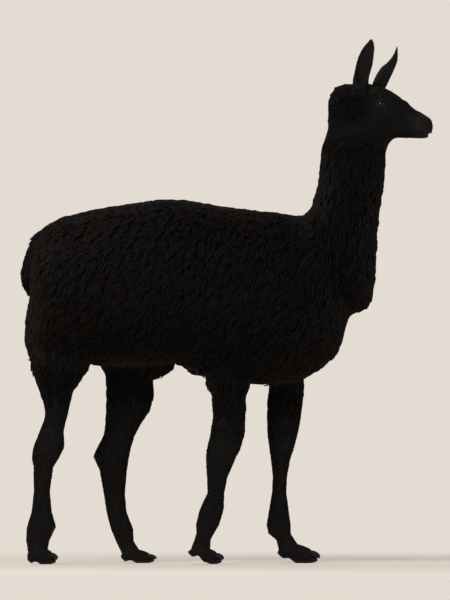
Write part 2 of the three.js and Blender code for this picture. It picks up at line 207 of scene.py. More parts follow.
def refine(points, faces, chosen):
    """Halves every edge of the chosen faces. The faces next to them are split to match."""
    count = len(points)
    ends = np.sort(np.stack([faces, np.roll(faces, -1, axis=1)], axis=2), axis=2).astype(np.int64)
    keys, edge = np.unique(ends[..., 0] * count + ends[..., 1], return_inverse=True)
    edge = edge.reshape(-1, 3)
    halved = np.zeros(len(keys), bool)
    halved[edge[chosen].ravel()] = True
    middles = (points[keys[halved] // count] + points[keys[halved] % count]) / 2
    number = np.where(halved, np.cumsum(halved) - 1 + count, -1)[edge]
    cuts = (number >= 0).sum(axis=1)
    made = [faces[cuts == 0]]
    for turn in range(3):
        corner, middle = np.roll(faces, -turn, axis=1), np.roll(number, -turn, axis=1)
        a, b, c = corner.T
        ab, bc, ca = middle.T
        one = (cuts == 1) & (ab >= 0)
        two = (cuts == 2) & (ca < 0)
        made += [np.stack(k, 1)[one] for k in ((a, ab, c), (ab, b, c))]
        made += [np.stack(k, 1)[two] for k in ((ab, b, bc), (a, ab, bc), (a, bc, c))]
        if turn == 0:
            all_three = cuts == 3
            made += [np.stack(k, 1)[all_three] for k in ((a, ab, ca), (ab, b, bc), (bc, c, ca), (ab, bc, ca))]
    return np.vstack([points, middles]), np.vstack(made)


def turns(count):
    """Equal turns round a circle."""
    return np.linspace(0, 2 * math.pi, count + 1)[:-1]


def spike_faces(start, rings):
    """The triangles of a three-sided spike, whose points come ring by ring and end with its tip."""
    faces = []
    for ring in range(rings):
        for k in range(3):
            a, b = start + 3 * ring + k, start + 3 * ring + (k + 1) % 3
            faces += [(a, b, b + 3), (a, b + 3, a + 3)] if ring < rings - 1 else [(a, b, start + 3 * rings)]
    return faces + [(start + 2, start + 1, start)]


# --- Meshes and objects ---


def mesh_of(name, points, faces, smooth=True):
    """A mesh from points and faces."""
    mesh = bpy.data.meshes.new(name)
    mesh.from_pydata(np.asarray(points).tolist(), [], np.asarray(faces).tolist() if len(faces) else [])
    if smooth:
        mesh.shade_smooth()
    mesh.update()
    return mesh


def object_of(name, mesh):
    """An object at the origin that holds the mesh."""
    thing = bpy.data.objects.new(name, mesh)
    bpy.context.scene.collection.objects.link(thing)
    return thing


def aimed(thing, place, target):
    """Puts a camera or a lamp in its place and points it at the target."""
    thing.location = place
    thing.rotation_euler = (Vector(target) - Vector(place)).to_track_quat("-Z", "Y").to_euler()


def finished_mesh(thing, name):
    """The object's mesh with its modifiers applied, and the object deleted."""
    graph = bpy.context.evaluated_depsgraph_get()
    mesh = bpy.data.meshes.new_from_object(
        thing.evaluated_get(graph), preserve_all_data_layers=True, depsgraph=graph
    )
    mesh.name = name
    bpy.data.objects.remove(thing)
    return mesh


def points_of(mesh):
    """The mesh's points as an array."""
    points = np.empty(len(mesh.vertices) * 3)
    mesh.vertices.foreach_get("co", points)
    return points.reshape(-1, 3)


def triangles_of(mesh):
    """The mesh's faces as triangles."""
    mesh.calc_loop_triangles()
    faces = np.empty(len(mesh.loop_triangles) * 3, np.int64)
    mesh.loop_triangles.foreach_get("vertices", faces)
    return faces.reshape(-1, 3)


def merged_copy(node):
    """A node's points and faces, with its loose triangles joined at their corners."""
    work = bmesh.new()
    work.from_mesh(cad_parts[node].data)
    bmesh.ops.remove_doubles(work, verts=work.verts, dist=0.02 * MM)
    points = np.array([vert.co[:] for vert in work.verts])
    faces = np.array([[vert.index for vert in face.verts] for face in work.faces])
    work.free()
    return points, faces


def keep_field(mesh, name, values, domain="POINT"):
    """Stores numbers or vectors on the mesh under a name."""
    kind = "FLOAT_VECTOR" if values.ndim == 2 else "INT" if values.dtype.kind == "i" else "FLOAT"
    layer = mesh.attributes.new(name, kind, domain)
    layer.data.foreach_set("vector" if values.ndim == 2 else "value", values.ravel())


def settle(piece, slot, *nodes):
    """Rides the piece on the body and hides the nodes that it stands for. The slot is not used."""
    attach(piece, "root")
    if nodes:
        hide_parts(*nodes)


# --- Node trees ---


def is_socket(value):
    """Whether a value is a node's socket."""
    return isinstance(value, bpy.types.NodeSocket)


def put(tree, kind, inputs=None, **settings):
    """Adds a node: inputs are values or sockets by name or place, and settings are its own properties."""
    node = tree.nodes.new(kind)
    for key, value in settings.items():
        setattr(node, key, value)
    for key, value in (inputs or {}).items():
        if isinstance(key, int):
            socket = node.inputs[key]
        else:
            socket = next(s for s in node.inputs if s.name == key and s.enabled)
        if is_socket(value):
            tree.links.new(value, socket)
        else:
            socket.default_value = value
    return node


def result(tree, kind, inputs=None, **settings):
    """Adds a node and gives its first live output."""
    return next(s for s in put(tree, kind, inputs, **settings).outputs if s.enabled)


def tree_of(*values):
    """The tree that the first socket among the values is in."""
    return next(value.id_data for value in values if is_socket(value))


def maths(operation, *values):
    """The result of a Math node."""
    return result(tree_of(*values), "ShaderNodeMath", dict(enumerate(values)), operation=operation)


add, subtract, multiply, divide = (partial(maths, name) for name in ("ADD", "SUBTRACT", "MULTIPLY", "DIVIDE"))


def vector_maths(operation, *values):
    """What a Vector Math node gives."""
    places = (0, 3) if operation == "SCALE" else (0, 1)
    return result(tree_of(*values), "ShaderNodeVectorMath", dict(zip(places, values)), operation=operation)


def ranged(value, low, high, to_low=0.0, to_high=1.0, **settings):
    """A value between low and high, as one between to_low and to_high."""
    inputs = dict(enumerate((value, low, high, to_low, to_high)))
    return result(tree_of(value), "ShaderNodeMapRange", inputs, **settings)


NOISE_RANGE = (0.3, 0.7)  # most of a noise's values lie between these


def swung(value, to_low=0.0, to_high=1.0):
    """A noise's value as one between to_low and to_high."""
    return ranged(value, *NOISE_RANGE, to_low, to_high)


def blended(share, one, other):
    """A colour that goes from one to the other. Each is a socket, or red, green and blue."""
    one, other = (value if is_socket(value) else [*value, 1] for value in (one, other))
    return result(tree_of(share), "ShaderNodeMix", {0: share, 6: one, 7: other}, data_type="RGBA")


def stored(tree, name, output="Fac"):
    """A number, or a vector, that is stored on the surface."""
    return put(tree, "ShaderNodeAttribute", attribute_name=name).outputs[output]


def noise(where, scale, detail=2.0, roughness=0.5):
    """A Noise texture's value."""
    inputs = {"Vector": where, "Scale": scale, "Detail": detail, "Roughness": roughness}
    return result(tree_of(where), "ShaderNodeTexNoise", inputs)


def stretched(where, scale, turn=(0, 0, 0)):
    """Coordinates turned and scaled."""
    inputs = {"Vector": where, "Rotation": turn, "Scale": scale}
    return result(tree_of(where), "ShaderNodeMapping", inputs, vector_type="TEXTURE")


def combined(*values):
    """A vector made of numbers."""
    return result(tree_of(*values), "ShaderNodeCombineXYZ", dict(enumerate(values)))


def material(name, **shader):
    """A material, its Principled surface and its coordinates. The surface's constants are named, with _ for a
    space."""
    made = bpy.data.materials.new(name)
    made.use_nodes = True
    surface = made.node_tree.nodes["Principled BSDF"]
    for key, value in shader.items():
        surface.inputs[key.replace("_", " ")].default_value = value
    return made, surface, put(made.node_tree, "ShaderNodeTexCoord").outputs["Object"]


def dressed(surface, base, rough=None, height=None, distance=0.0):
    """Gives a surface its colour, and, where they vary, its roughness and bumps up to a distance high."""
    links = surface.id_data.links
    links.new(base, surface.inputs["Base Color"])
    if rough:
        links.new(rough, surface.inputs["Roughness"])
    if height:
        bump = result(surface.id_data, "ShaderNodeBump", {"Height": height, "Distance": distance})
        links.new(bump, surface.inputs["Normal"])


# --- Settings ---


def length(name, text, default, least=0.0):
    """A length in metres that a user may change."""
    return FloatProperty(name=name, description=text, default=default, min=least, unit="LENGTH", precision=4)


def colour(name, text, default):
    """A colour that a user may change."""
    limits = {"size": 3, "subtype": "COLOR", "min": 0, "max": 1}
    return FloatVectorProperty(name=name, description=text, default=default, **limits)


def power(name, text, default):
    """A lamp's power that a user may change."""
    return FloatProperty(name=name, description=text, default=default, unit="POWER")


class LlamaStageSettings(bpy.types.PropertyGroup):
    """The backdrop, the floor and the lights."""

    backdrop: colour("Backdrop", "Colour of the backdrop and the floor", (0.775, 0.716, 0.645))
    ambient: FloatProperty(name="Ambient", description="Strength of the light all round", default=0.35, min=0)
    key_power: power("Key", "Power of the large soft light", 220)
    fill_power: power("Fill", "Power of the light that fills shadows", 70)
    top_power: power("Top", "Power of the light over the back", 45)


class LlamaCoatSettings(bpy.types.PropertyGroup):
    """Lengths and colours of the wool and hair."""

    back_wool: length("Back wool", "Length of a lock on the back and sides", 0.052)
    neck_wool: length("Neck wool", "Length of a lock on the neck", 0.044)
    tail_wool: length("Tail wool", "Length of a lock on the tail", 0.044)
    crown_wool: length("Crown wool", "Length of a lock between the ears", 0.02)
    leg_hair: length("Leg hair", "Length of a tuft on the cannon", 0.011)
    face_hair: length("Face hair", "Length of a tuft on the cheek", 0.0085)
    lock_spacing: length("Lock spacing", "Distance between the roots of two locks", 0.0049, 0.004)
    tuft_spacing: length("Tuft spacing", "Distance between the roots of two tufts on a leg", 0.0036, 0.003)
    face_spacing: length("Face spacing", "Distance between the roots of two tufts on the face", 0.0026, 0.002)
    seed: IntProperty(name="Seed", description="Changes where the locks grow", default=7)
    root: colour("Root", "Colour of the wool near the skin", (0.0022, 0.0018, 0.0016))
    tip: colour("Tip", "Colour of the weathered tips", (0.0075, 0.0054, 0.0042))


class LlamaSkinSettings(bpy.types.PropertyGroup):
    """How far the skin lies inside the tips of the coat."""

    under_wool: length("Under wool", "Depth of the skin on the trunk", 0.015)
    under_hair: length("Under hair", "Depth of the skin on the cannons", 0.0024)
    under_face: length("Under face hair", "Depth of the skin on the face", 0.002)
    voxel: length("Voxel", "Grain of the skin's first mesh", 0.003, 0.002)


SETTINGS = {
    "llama_stage": LlamaStageSettings,
    "llama_coat": LlamaCoatSettings,
    "llama_skin": LlamaSkinSettings,
}


# --- Stage ---

GLOW_NEAR = 1.0  # the backdrop's own glow grows between these distances from the llama
GLOW_FAR = 2.6
LEAST_GLOW = 0.3


def backdrop_material(tone):
    """A floor that takes soft shadows near the llama and melts into the backdrop further out."""
    made, surface, where = material("backdrop", Roughness=0.9, Specular_IOR_Level=0.1)
    tree = made.node_tree
    grain = swung(noise(where, 60, 4))
    dressed(surface, blended(grain, [1.16 * value for value in tone], [1.2 * value for value in tone]))
    glow = result(tree, "ShaderNodeEmission", {"Color": [*tone, 1]})
    away = vector_maths("LENGTH", vector_maths("MULTIPLY", where, (1, 1, 0)))
    share = ranged(away, GLOW_NEAR, GLOW_FAR, LEAST_GLOW, interpolation_type="SMOOTHSTEP")
    mixed = result(tree, "ShaderNodeMixShader", {0: share, 1: surface.outputs[0], 2: glow})
    tree.links.new(mixed, tree.nodes["Material Output"].inputs["Surface"])
    return made


class LLAMA_OT_stage(bpy.types.Operator):
    """Sets the camera, the floor, the backdrop and the lights"""

    bl_idname = "llama.stage"
    bl_label = "Stage"

    CAMERA_AWAY = 30.0
    CAMERA_HEIGHT = 0.55
    VIEW_HEIGHT = 1.98  # what the frame takes in at the llama
    VIEW_MIDDLE = (-0.0066, 0.8696)
    SENSOR = 36.0
    CLIP_END = 200
    FLOOR_RADIUS = 9.0
    FLOOR_SIDES = 96
    LIT_PLACE = (0, 0, 0.8)
    LAMPS = (("key", 3.0, (-2.6, -4.2, 4.2)), ("fill", 3.5, (4.2, -3.4, 2.2)), ("top", 3.0, (-0.4, 2.2, 4.4)))

    def execute(self, context):
        settings, scene = context.scene.llama_stage, context.scene
        scene.view_settings.view_transform = "Standard"
        lens = bpy.data.cameras.new("camera")
        lens.sensor_width = self.SENSOR
        lens.lens = self.SENSOR * self.CAMERA_AWAY / self.VIEW_HEIGHT
        lens.clip_end = self.CLIP_END
        camera = object_of("camera", lens)
        middle = (cad_box[0].x + cad_box[1].x) / 2 + self.VIEW_MIDDLE[0]
        aimed(camera, (middle, -self.CAMERA_AWAY, self.CAMERA_HEIGHT), (middle, 0, self.VIEW_MIDDLE[1]))
        scene.camera = camera

        tone = list(settings.backdrop)
        scene.world = bpy.data.worlds.new("studio")
        scene.world.use_nodes = True
        sky = scene.world.node_tree
        seen = sky.nodes["Background"]
        seen.inputs["Color"].default_value = [*tone, 1]
        soft = result(sky, "ShaderNodeBackground", {"Color": [*tone, 1], "Strength": settings.ambient})
        direct = put(sky, "ShaderNodeLightPath").outputs["Is Camera Ray"]
        both = result(sky, "ShaderNodeMixShader", {0: direct, 1: soft, 2: seen.outputs[0]})
        sky.links.new(both, sky.nodes["World Output"].inputs["Surface"])

        rim = self.FLOOR_RADIUS * np.array([(math.cos(a), math.sin(a), 0) for a in turns(self.FLOOR_SIDES)])
        floor = object_of("floor", mesh_of("floor", rim, [list(range(self.FLOOR_SIDES))], smooth=False))
        floor.data.materials.append(backdrop_material(tone))

        for name, size, place in self.LAMPS:
            light = bpy.data.lights.new(name, "AREA")
            light.energy = getattr(settings, name + "_power")
            light.size = size
            lamp = object_of(name, light)
            aimed(lamp, place, self.LIT_PLACE)
            lamp.visible_camera = False
        return {"FINISHED"}


# --- Skin ---

CLOSE_CUTS = 0.8 * MM  # how far each solid swells to close the cuts between them
PAD_ROOT = 8 * MM  # how far a toe's pad reaches back into the toe
PAD_LENGTH, PAD_WIDTH, PAD_HEIGHT = 0.84, 0.9, 0.55  # of the nail's own

# For each part: how much its first mesh is evened, how fine that mesh stays, how much its broad forms are
# evened later, and how much higher its skin is set than the coat's depth says, in millimetres.
PARTS = {
    "trunk": (1.0, 0.26, 1.0, 0.0),
    "neck": (1.0, 0.28, 1.0, 0.0),
    "tail": (0.6, 0.32, 0.2, 0.0),
    "head": (0.22, 0.86, 0.3, 0.0),
    "lower_jaw": (0.12, 1.0, 0.0, 0.3),
    "ear": (0.1, 0.9, 0.5, 0.8),
    "_thigh": (0.6, 0.32, 0.8, 0.7),
    "_forearm": (0.45, 0.36, 0.6, 0.5),
    "_cannon": (0.16, 0.42, 0.5, 1.5),
    "_foot": (0.08, 0.62, 0.4, 1.7),
}
EVENED, FINE, BROAD, LIFT = range(4)


def by_part(column):
    """A column of the parts' table, as one number for each node of the flesh."""

    def row(node):
        return next(row for key, row in PARTS.items() if node.startswith(key) or node.endswith(key))

    return np.array([row(node)[column] for node in FLESH])


def pad_under(points):
    """A nail's points as the soft pad under the claw, rooted in the toe."""
    low, high = points.min(axis=0), points.max(axis=0)
    middle = (low[1] + high[1]) / 2
    along = (points[:, 0] - low[0]) / (high[0] - low[0])
    return np.stack(
        [
            low[0] - PAD_ROOT + (PAD_ROOT + PAD_LENGTH * (high[0] - low[0])) * along,
            middle + PAD_WIDTH * (points[:, 1] - middle),
            low[2] + CLOSE_CUTS + PAD_HEIGHT * (points[:, 2] - low[2]),
        ],
        axis=1,
    )


def joined_flesh():
    """The points and faces of all the flesh, the eyes and a pad for each nail, and the number of the node that
    each face belongs to."""
    points, faces, owners = [], [], []
    start = 0
    for node in (*FLESH, *EYES, *NAILS):
        node_points, node_faces = merged_copy(node)
        if node in NAILS:
            node_points, owner = pad_under(node_points), node.split("_nail_")[0] + "_foot"
        else:
            node_points = node_points + CLOSE_CUTS * surface_normals(node_points, node_faces)
            owner = "head" if node in EYES else node
        points.append(node_points)
        faces.append(node_faces + start)
        owners.append(np.full(len(node_faces), FLESH.index(owner)))
        start += len(node_points)
    return np.vstack(points), np.vstack(faces), np.concatenate(owners)


def nearest_nodes(points, tree, owners):
    """The number of the node nearest to each point."""
    return np.array([owners[tree.find_nearest(point)[2]] for point in points.tolist()])


def first_skin(voxel, triangles):
    """One closed surface over all the flesh, finer on the head and feet, and the flesh's tree and owners."""
    points, faces, owners = joined_flesh()
    tree = BVHTree.FromPolygons(points.tolist(), faces.tolist())
    block = object_of("flesh", mesh_of("flesh", points, faces))
    remesh = block.modifiers.new("voxels", "REMESH")
    remesh.mode = "VOXEL"
    remesh.voxel_size = voxel
    mesh = finished_mesh(block, "flesh")
    labels = nearest_nodes(points_of(mesh), tree, owners)
    block = object_of("flesh", mesh)
    for name, weights in (("soft", by_part(EVENED)), ("coarse", 1 - by_part(FINE))):
        group = block.vertex_groups.new(name=name)
        for number, weight in enumerate(weights):
            group.add(np.flatnonzero(labels == number).tolist(), weight, "REPLACE")
    evening = block.modifiers.new("evening", "SMOOTH")
    evening.factor = 0.5
    evening.iterations = 40
    evening.vertex_group = "soft"
    thinning = block.modifiers.new("thinning", "DECIMATE")
    thinning.ratio = triangles / (2 * len(mesh.polygons))
    thinning.vertex_group = "coarse"
    thinning.vertex_group_factor = 100
    mesh = finished_mesh(block, "flesh")
    return points_of(mesh), triangles_of(mesh), tree, owners


HAUNCH_ROUNDS = 60
EAR_BASE_ROUNDS = 16
EAR_ROOT = 0.2  # the share of an ear's height that is its root
EAR_BASE = (22 * MM, 44 * MM)  # how far from an ear's root the evening goes


def rounded_haunches(points, faces, edges, nodes):
    """Points with the tops of the legs drawn smoothly into the sides of the trunk."""
    share = spread(among(nodes, *UPPER_LEGS).astype(float), edges, HAUNCH_ROUNDS)
    at_top = ease(4 * share * (1 - share), 0.15, 0.8)
    sideways = ease(np.abs(surface_normals(points, faces)[:, 1]), 0.35, 0.75)
    weight = spread(at_top * sideways, edges, 6)[:, None]
    return points + weight * (spread(points, edges, HAUNCH_ROUNDS) - points)


def rounded_ear_bases(points, edges, nodes):
    """Points with the ears' roots drawn smoothly into the head."""
    even = spread(points, edges, EAR_BASE_ROUNDS)
    for node in EARS:
        root = among(nodes, node) & (rise_in(node, points) < EAR_ROOT)
        away = lengths(points - points[root].mean(axis=0))
        share = (1 - ease(away, *EAR_BASE))[:, None]
        points = points + share * (even - points)
    return points


# How far the open side of an ear is scooped out, in millimetres, and how much of its width, up its height.
SCOOP_RISE = (0.12, 0.2, 0.3, 0.46, 0.62, 0.85, 1.0)
SCOOP_DEPTH = (0.0, 12.0, 20.0, 12.0, 3.0, 1.2, 0.0)
SCOOP_WIDTH = (0.35, 0.5, 0.7, 0.88, 0.92, 0.92, 0.9)
EAR_LEVELS = np.linspace(0.1, 0.95, 12)
EAR_SLICE = 0.06


def hollowed_ears(points, faces, edges, nodes):
    """Points with the open side of each ear, which faces outwards, scooped out towards its root."""
    normals = unit(spread(surface_normals(points, faces), edges, 3))
    for node in EARS:
        side = 1 if node == "ear_left" else -1
        rise, here = rise_in(node, points), among(nodes, node)
        rows = [points[here & (np.abs(rise - level) < EAR_SLICE), 0] for level in EAR_LEVELS]
        middle = np.interp(rise, EAR_LEVELS, [(row.min() + row.max()) / 2 for row in rows])
        half = np.interp(rise, EAR_LEVELS, [(row.max() - row.min()) / 2 for row in rows])
        half = half * np.interp(rise, SCOOP_RISE, SCOOP_WIDTH)
        across = np.abs(points[:, 0] - middle) / half
        open_side = here * ease(side * normals[:, 1], 0.1, 0.5)
        scoop = MM * np.interp(rise, SCOOP_RISE, SCOOP_DEPTH) * open_side * (1 - ease(across, 0.45, 1.0))
        points = points - scoop[:, None] * normals
    return points


EYE_FORWARD, EYE_UP = 0.38, 0.06  # how far the eye looks forwards and up, for 1 outwards
EYE_TILT = math.radians(-14)


def eye_frame(side):
    """The eye's own directions: along its opening towards the nose, up across it, and out."""
    out = unit(side * HEAD_LEFT + EYE_FORWARD * HEAD_FORWARD + EYE_UP * UP)
    along = unit(np.cross(UP, out) * side * -1)
    if along @ HEAD_FORWARD < 0:
        along = -along
    across = unit(UP - (UP @ out) * out)
    cos, sin = math.cos(EYE_TILT), math.sin(EYE_TILT)
    return np.array([cos * along + sin * across, cos * across - sin * along, out])


# The opening between the lids, in millimetres: half its length, its height above and below, and its corners.
LID_HALF = 17.5
LID_UP = 11.5
LID_DOWN = 8.5
LID_CORNER = 1.55
LID_THICK = 1.7
RIM = 0.88  # the lid's rim begins at this share of the opening


def opening(along, across):
    """0 in the middle of the eye's opening, 1 at its edge and more outside."""
    height = np.where(across > 0, LID_UP, LID_DOWN)
    both = np.abs(along / LID_HALF) ** LID_CORNER + np.abs(across / height) ** LID_CORNER
    return both ** (1 / LID_CORNER)


def lidded(points, node, side):
    """Points of the skin round one eye, moved into lids that wrap the eyeball."""
    axes = eye_frame(side)
    middle = eye_middles[node]
    local = (points - middle) @ axes.T / MM
    radius = EYE_RADIUS / MM
    near = (lengths(local) < 3 * radius) & (local[:, 2] > 0)
    q = local[near]
    edge = opening(q[:, 0], q[:, 1])
    # Points just inside the edge go onto it, so that the lid's rim is clean.
    to_edge = np.where((edge > RIM) & (edge < 1), 1 / np.maximum(edge, 0.1), 1.0)
    to_edge = np.where((edge > RIM - 0.12) & (edge <= RIM), 0.965 / np.maximum(edge, 0.1), to_edge)
    q[:, :2] *= to_edge[:, None]
    reach = lengths(q)
    upper = ease(q[:, 1], -3, 5)
    lid = radius + LID_THICK + 0.5 * upper
    own = np.maximum(reach, lid - 1)
    grown = ease(edge, 1.25 + 0.15 * upper, 2.3)
    wanted = lid * (1 - grown) + own * grown
    wanted = wanted + (0.7 + 0.5 * upper) * hump(edge - 1.16, 0.1)
    wanted = wanted - (0.8 + 1.4 * upper) * hump(edge - 1.5, 0.12)
    wanted = np.where(edge > RIM, wanted, radius - 3.5)
    wanted = np.where(edge > 2.3, reach, wanted)
    q = q * (wanted / np.maximum(reach, 1e-6))[:, None]
    moved = points.copy()
    moved[near] = middle + (q * MM) @ axes
    return moved


def stretches(line):
    """The length of each stretch of a line, and how far along it each of its points is."""
    own = lengths(np.diff(line, axis=0))
    return own, np.concatenate([[0], np.cumsum(own)])


def line_distance(points, line):
    """Distance of each point from a line through the given points, and the share of the way along it."""
    best = np.full(len(points), 1e9)
    share = np.zeros(len(points))
    line = np.array(line, float)
    own, run = stretches(line)
    for k, (start, end) in enumerate(zip(line[:-1], line[1:])):
        step = end - start
        t = np.clip((points - start) @ step / (step @ step), 0, 1)
        away = lengths(points - start - t[:, None] * step)
        closer = away < best
        best = np.where(closer, away, best)
        share = np.where(closer, (run[k] + t * own[k]) / run[-1], share)
    return best, share


# Lines on the left half of the face: forward, left and up from between the eyes, in millimetres.
NOSTRIL_LINE = [(158, 7, -63), (156, 11, -55), (152, 16, -49), (146, 21, -46), (139, 24, -46)]
MOUTH_LINE = [(154, 0, -95), (153, 10, -95), (150, 20, -94), (142, 29, -92), (128, 35, -89), (108, 36, -85),
              (92, 38, -82), (80, 41, -78)]
# Its bones and folds: each one's line, how far it stands out of the face, and how broad it is.
FACE_FORMS = [
    ([(14, 62, -30), (44, 57, -42), (78, 44, -50)], 2.2, 8.0),  # cheek bone
    ([(-18, 52, 19), (0, 52, 24), (18, 46, 18)], 2.4, 6.0),  # brow
    ([(58, 34, 2), (90, 30, -18), (120, 28, -34)], -2.0, 6.5),  # side of the nose
    ([(20, 58, -6), (34, 54, -16), (54, 50, -30)], -1.3, 2.6),  # groove below the eye
    ([(80, 44, -66), (74, 44, -74), (72, 42, -84)], -1.6, 2.6),  # fold behind the mouth
]
LINE_STEPS = 25
HEAD_REACH = 220  # the head lies within this distance from between the eyes, in millimetres


def laid(line, tree):
    """A line of the face in small steps, each laid on the skin."""
    line = np.array(line, float)
    run = stretches(line)[1]
    steps = np.linspace(0, run[-1], LINE_STEPS)
    places = np.stack([np.interp(steps, run, column) for column in line.T], axis=1)
    places = BETWEEN_EYES + (places * MM) @ HEAD_AXES
    return in_head(np.array([tree.find_nearest(place)[0][:] for place in places.tolist()]))


def shaped_face(points, faces):
    """The skin with nostrils, mouth, split lip, bones and folds, how bare each point is, and how much painted
    shade darkens it.
    """
    tree = BVHTree.FromPolygons(points.tolist(), faces.tolist())
    head = in_head(points)
    forward, left, up = head.T
    half = mirrored(head)
    near = (lengths(head) < HEAD_REACH).astype(float)
    normals = unit(spread(surface_normals(points, faces), edges_of(faces, len(points)), 3))
    on_top = near * ease(up, -75, -58)
    moved = points.copy()

    def push(amount, way=normals):
        moved[:] += MM * amount[:, None] * way

    # The step where the brow meets the bridge of the nose, the nose's tip, the narrow front and the chin.
    ridge = on_top * hump(left, 24)
    step = 3.2 * hump(forward - 74, 9) - 2.4 * hump(forward - 104, 13) + 2.2 * hump(forward - 150, 8)
    push(ridge * step, 0.4 * HEAD_FORWARD + 0.9 * UP)
    push(-near * ease(forward, 118, 150) * 0.011 * left**2, HEAD_FORWARD)
    push(4.5 * near * hump(left, 18) * ease(forward, 118, 134) * ease(up, -97, -102), HEAD_FORWARD)

    for line, amount, reach in FACE_FORMS:
        push(near * amount * hump(line_distance(half, laid(line, tree))[0], reach))

    # The mouth: a crease between full lips.
    mouth = laid(MOUTH_LINE, tree)
    from_mouth, along = line_distance(half, mouth)
    above = ease(up - np.interp(forward, mouth[::-1, 0], mouth[::-1, 2]), -1.5, 1.5)
    in_front = 1 - ease(along, 0.2, 0.5)
    push(near * hump(from_mouth - 5.0, 3.2) * (0.7 + 0.9 * above))
    crease = near * hump(from_mouth, 1.5)
    push(-crease * (3.0 + 3.0 * in_front))

    # The split of the upper lip, with a full half on each side.
    lip = near * ease(forward, 138, 146) * above
    cleft = lip * hump(left, 1.5) * ease(up, -58, -68)
    push(1.6 * lip * hump(np.abs(left) - 8, 5.0) * ease(up, -66, -80))
    push(-cleft * (1.6 + 3.2 * ease(up, -70, -90)))

    # The nostrils: slits that open at their inner end, under a raised wing.
    from_nostril, along = line_distance(half, laid(NOSTRIL_LINE, tree))
    width = 3.6 - 2.3 * along
    slit = near * hump(from_nostril, width)
    push(2.0 * near * hump(from_nostril - width - 3.0, 2.2) * (1 - 0.4 * along))
    push(-slit * (9.5 - 6.0 * along))

    bare = (hump(from_nostril, 5.0), hump(from_mouth, 2.6 + 3.0 * in_front), cleft)
    # Painted shade: how much the nostrils' slits, the mouth's crease and the lip's split are darkened in the
    # skin's colour.
    hollow = (hump(from_nostril, 0.85 * width), 0.9 * hump(from_mouth, 1.2), 0.6 * cleft)
    return moved, near * np.maximum.reduce(bare), near * np.maximum.reduce(hollow)


LID_BARE = (1.22, 1.5)  # the skin turns from bare to hairy between these shares of the eye's opening,
SOLE_BARE = (7 * MM, 12 * MM)  # and between these heights of a foot
PAD_MARGIN = 5 * MM
PAD_HALF = 0.6  # half a bare pad's width, for a nail's width of 1


def bare_share(points, nodes):
    """1 where no hair grows: the eyes' openings, the soles and the pads under the claws."""
    bare = np.zeros(len(points))
    for node, side in EYES.items():
        local = (points - eye_middles[node]) @ eye_frame(side).T / MM
        edge = opening(local[:, 0], local[:, 1])
        close = (lengths(local) < 2 * EYE_RADIUS / MM) & (local[:, 2] > 0)
        bare = np.maximum(bare, close * (1 - ease(edge, *LID_BARE)))
    foot = among(nodes, *FEET)
    bare = np.maximum(bare, foot * (1 - ease(points[:, 2], *SOLE_BARE)))
    for node in NAILS:
        low, high = low_high(node)
        ahead = ease(points[:, 0], low[0], low[0] + PAD_MARGIN) * (points[:, 0] < high[0] + PAD_MARGIN)
        beside = np.abs(points[:, 1] - (low[1] + high[1]) / 2) < PAD_HALF * (high[1] - low[1])
        bare = np.maximum(bare, foot * ahead * beside)
    return bare


# Which way the coat lies, forwards, sideways and up, by part.
LIE_TRUNK, LIE_NECK, LIE_TAIL = (-0.6, 0, -1.0), (-0.2, 0, -1.0), (-0.25, 0, -1.0)
LIE_UPPER_LEG, LIE_CANNON, LIE_FOOT = (-0.15, 0, -1.0), (-0.1, 0, -1.0), (0.7, 0, -1.0)


CROWN_DEPTH = 9 * MM
EAR_DEPTH = 0.4 * MM
PARTING = 70 * MM  # the coat is parted over this far to each side of the back,
CREST = 40 * MM  # and over this far to each side of the nape


def head_coat(local, n, coat, skin):
    """The coat's depth, length and lie on the head, at points given in its own directions: the crown and the
    throat are woolly."""
    crown = ease(local[:, 0], -25, -70) * ease(local[:, 2], -75, -20)
    crown = np.maximum(crown, ease(local[:, 0], -5, -35) * ease(local[:, 2], 25, 50))
    throat = ease(local[:, 0], 30, -30) * ease(local[:, 2], -90, -120)
    woolly = np.maximum(crown, 0.7 * throat)
    nose = ease(local[:, 0], 70, 140)
    depth = skin.under_face * (1 - 0.5 * nose) + (CROWN_DEPTH - skin.under_face) * woolly
    short = coat.face_hair * (1 - 0.55 * nose)
    flow = -HEAD_FORWARD - 0.35 * UP - 0.9 * woolly[:, None] * UP
    flow = flow + 0.25 * np.sign(local[:, 1])[:, None] * HEAD_LEFT * np.maximum(n[:, 2], 0)[:, None]
    return depth, short + (coat.crown_wool - short) * woolly, flow


def part_coat(node, points, n, coat, skin):
    """The coat's depth, length and lie at points of one node."""
    rise = rise_in(node, points)
    if node == "trunk":
        parting = np.clip(points[:, 1] / PARTING, -1, 1) * np.maximum(n[:, 2], 0)
        return skin.under_wool, coat.back_wool, LIE_TRUNK + 0.6 * np.outer(parting, (0, 1, 0))
    if node == "neck":
        crest = np.clip(points[:, 1] / CREST, -1, 1) * np.maximum(-n[:, 0], 0)
        depth = skin.under_wool * (1 - 0.35 * ease(rise, 0.75, 1))
        return depth, coat.neck_wool, LIE_NECK + 0.5 * np.outer(crest, (0, 1, 0))
    if node == "tail":
        return 0.8 * skin.under_wool, coat.tail_wool, LIE_TAIL
    if node in UPPER_LEGS:
        woolly = ease(rise, 0.15, 0.75)
        depth = skin.under_hair + (0.75 * skin.under_wool - skin.under_hair) * woolly
        return depth, coat.leg_hair + (0.75 * coat.back_wool - coat.leg_hair) * woolly, LIE_UPPER_LEG
    if node in CANNONS:
        return skin.under_hair, coat.leg_hair, LIE_CANNON
    if node in FEET:
        return 0.75 * skin.under_hair, 0.75 * coat.leg_hair, LIE_FOOT
    if node in EARS:
        to_tip = points[rise > 0.85].mean(axis=0) - points[rise < 0.3].mean(axis=0)
        return EAR_DEPTH, 0.6 * coat.face_hair, unit(to_tip)
    return head_coat(in_head(points), n, coat, skin)


NORMAL_ROUNDS, DEPTH_ROUNDS, LENGTH_ROUNDS, LIE_ROUNDS = 12, 30, 24, 10


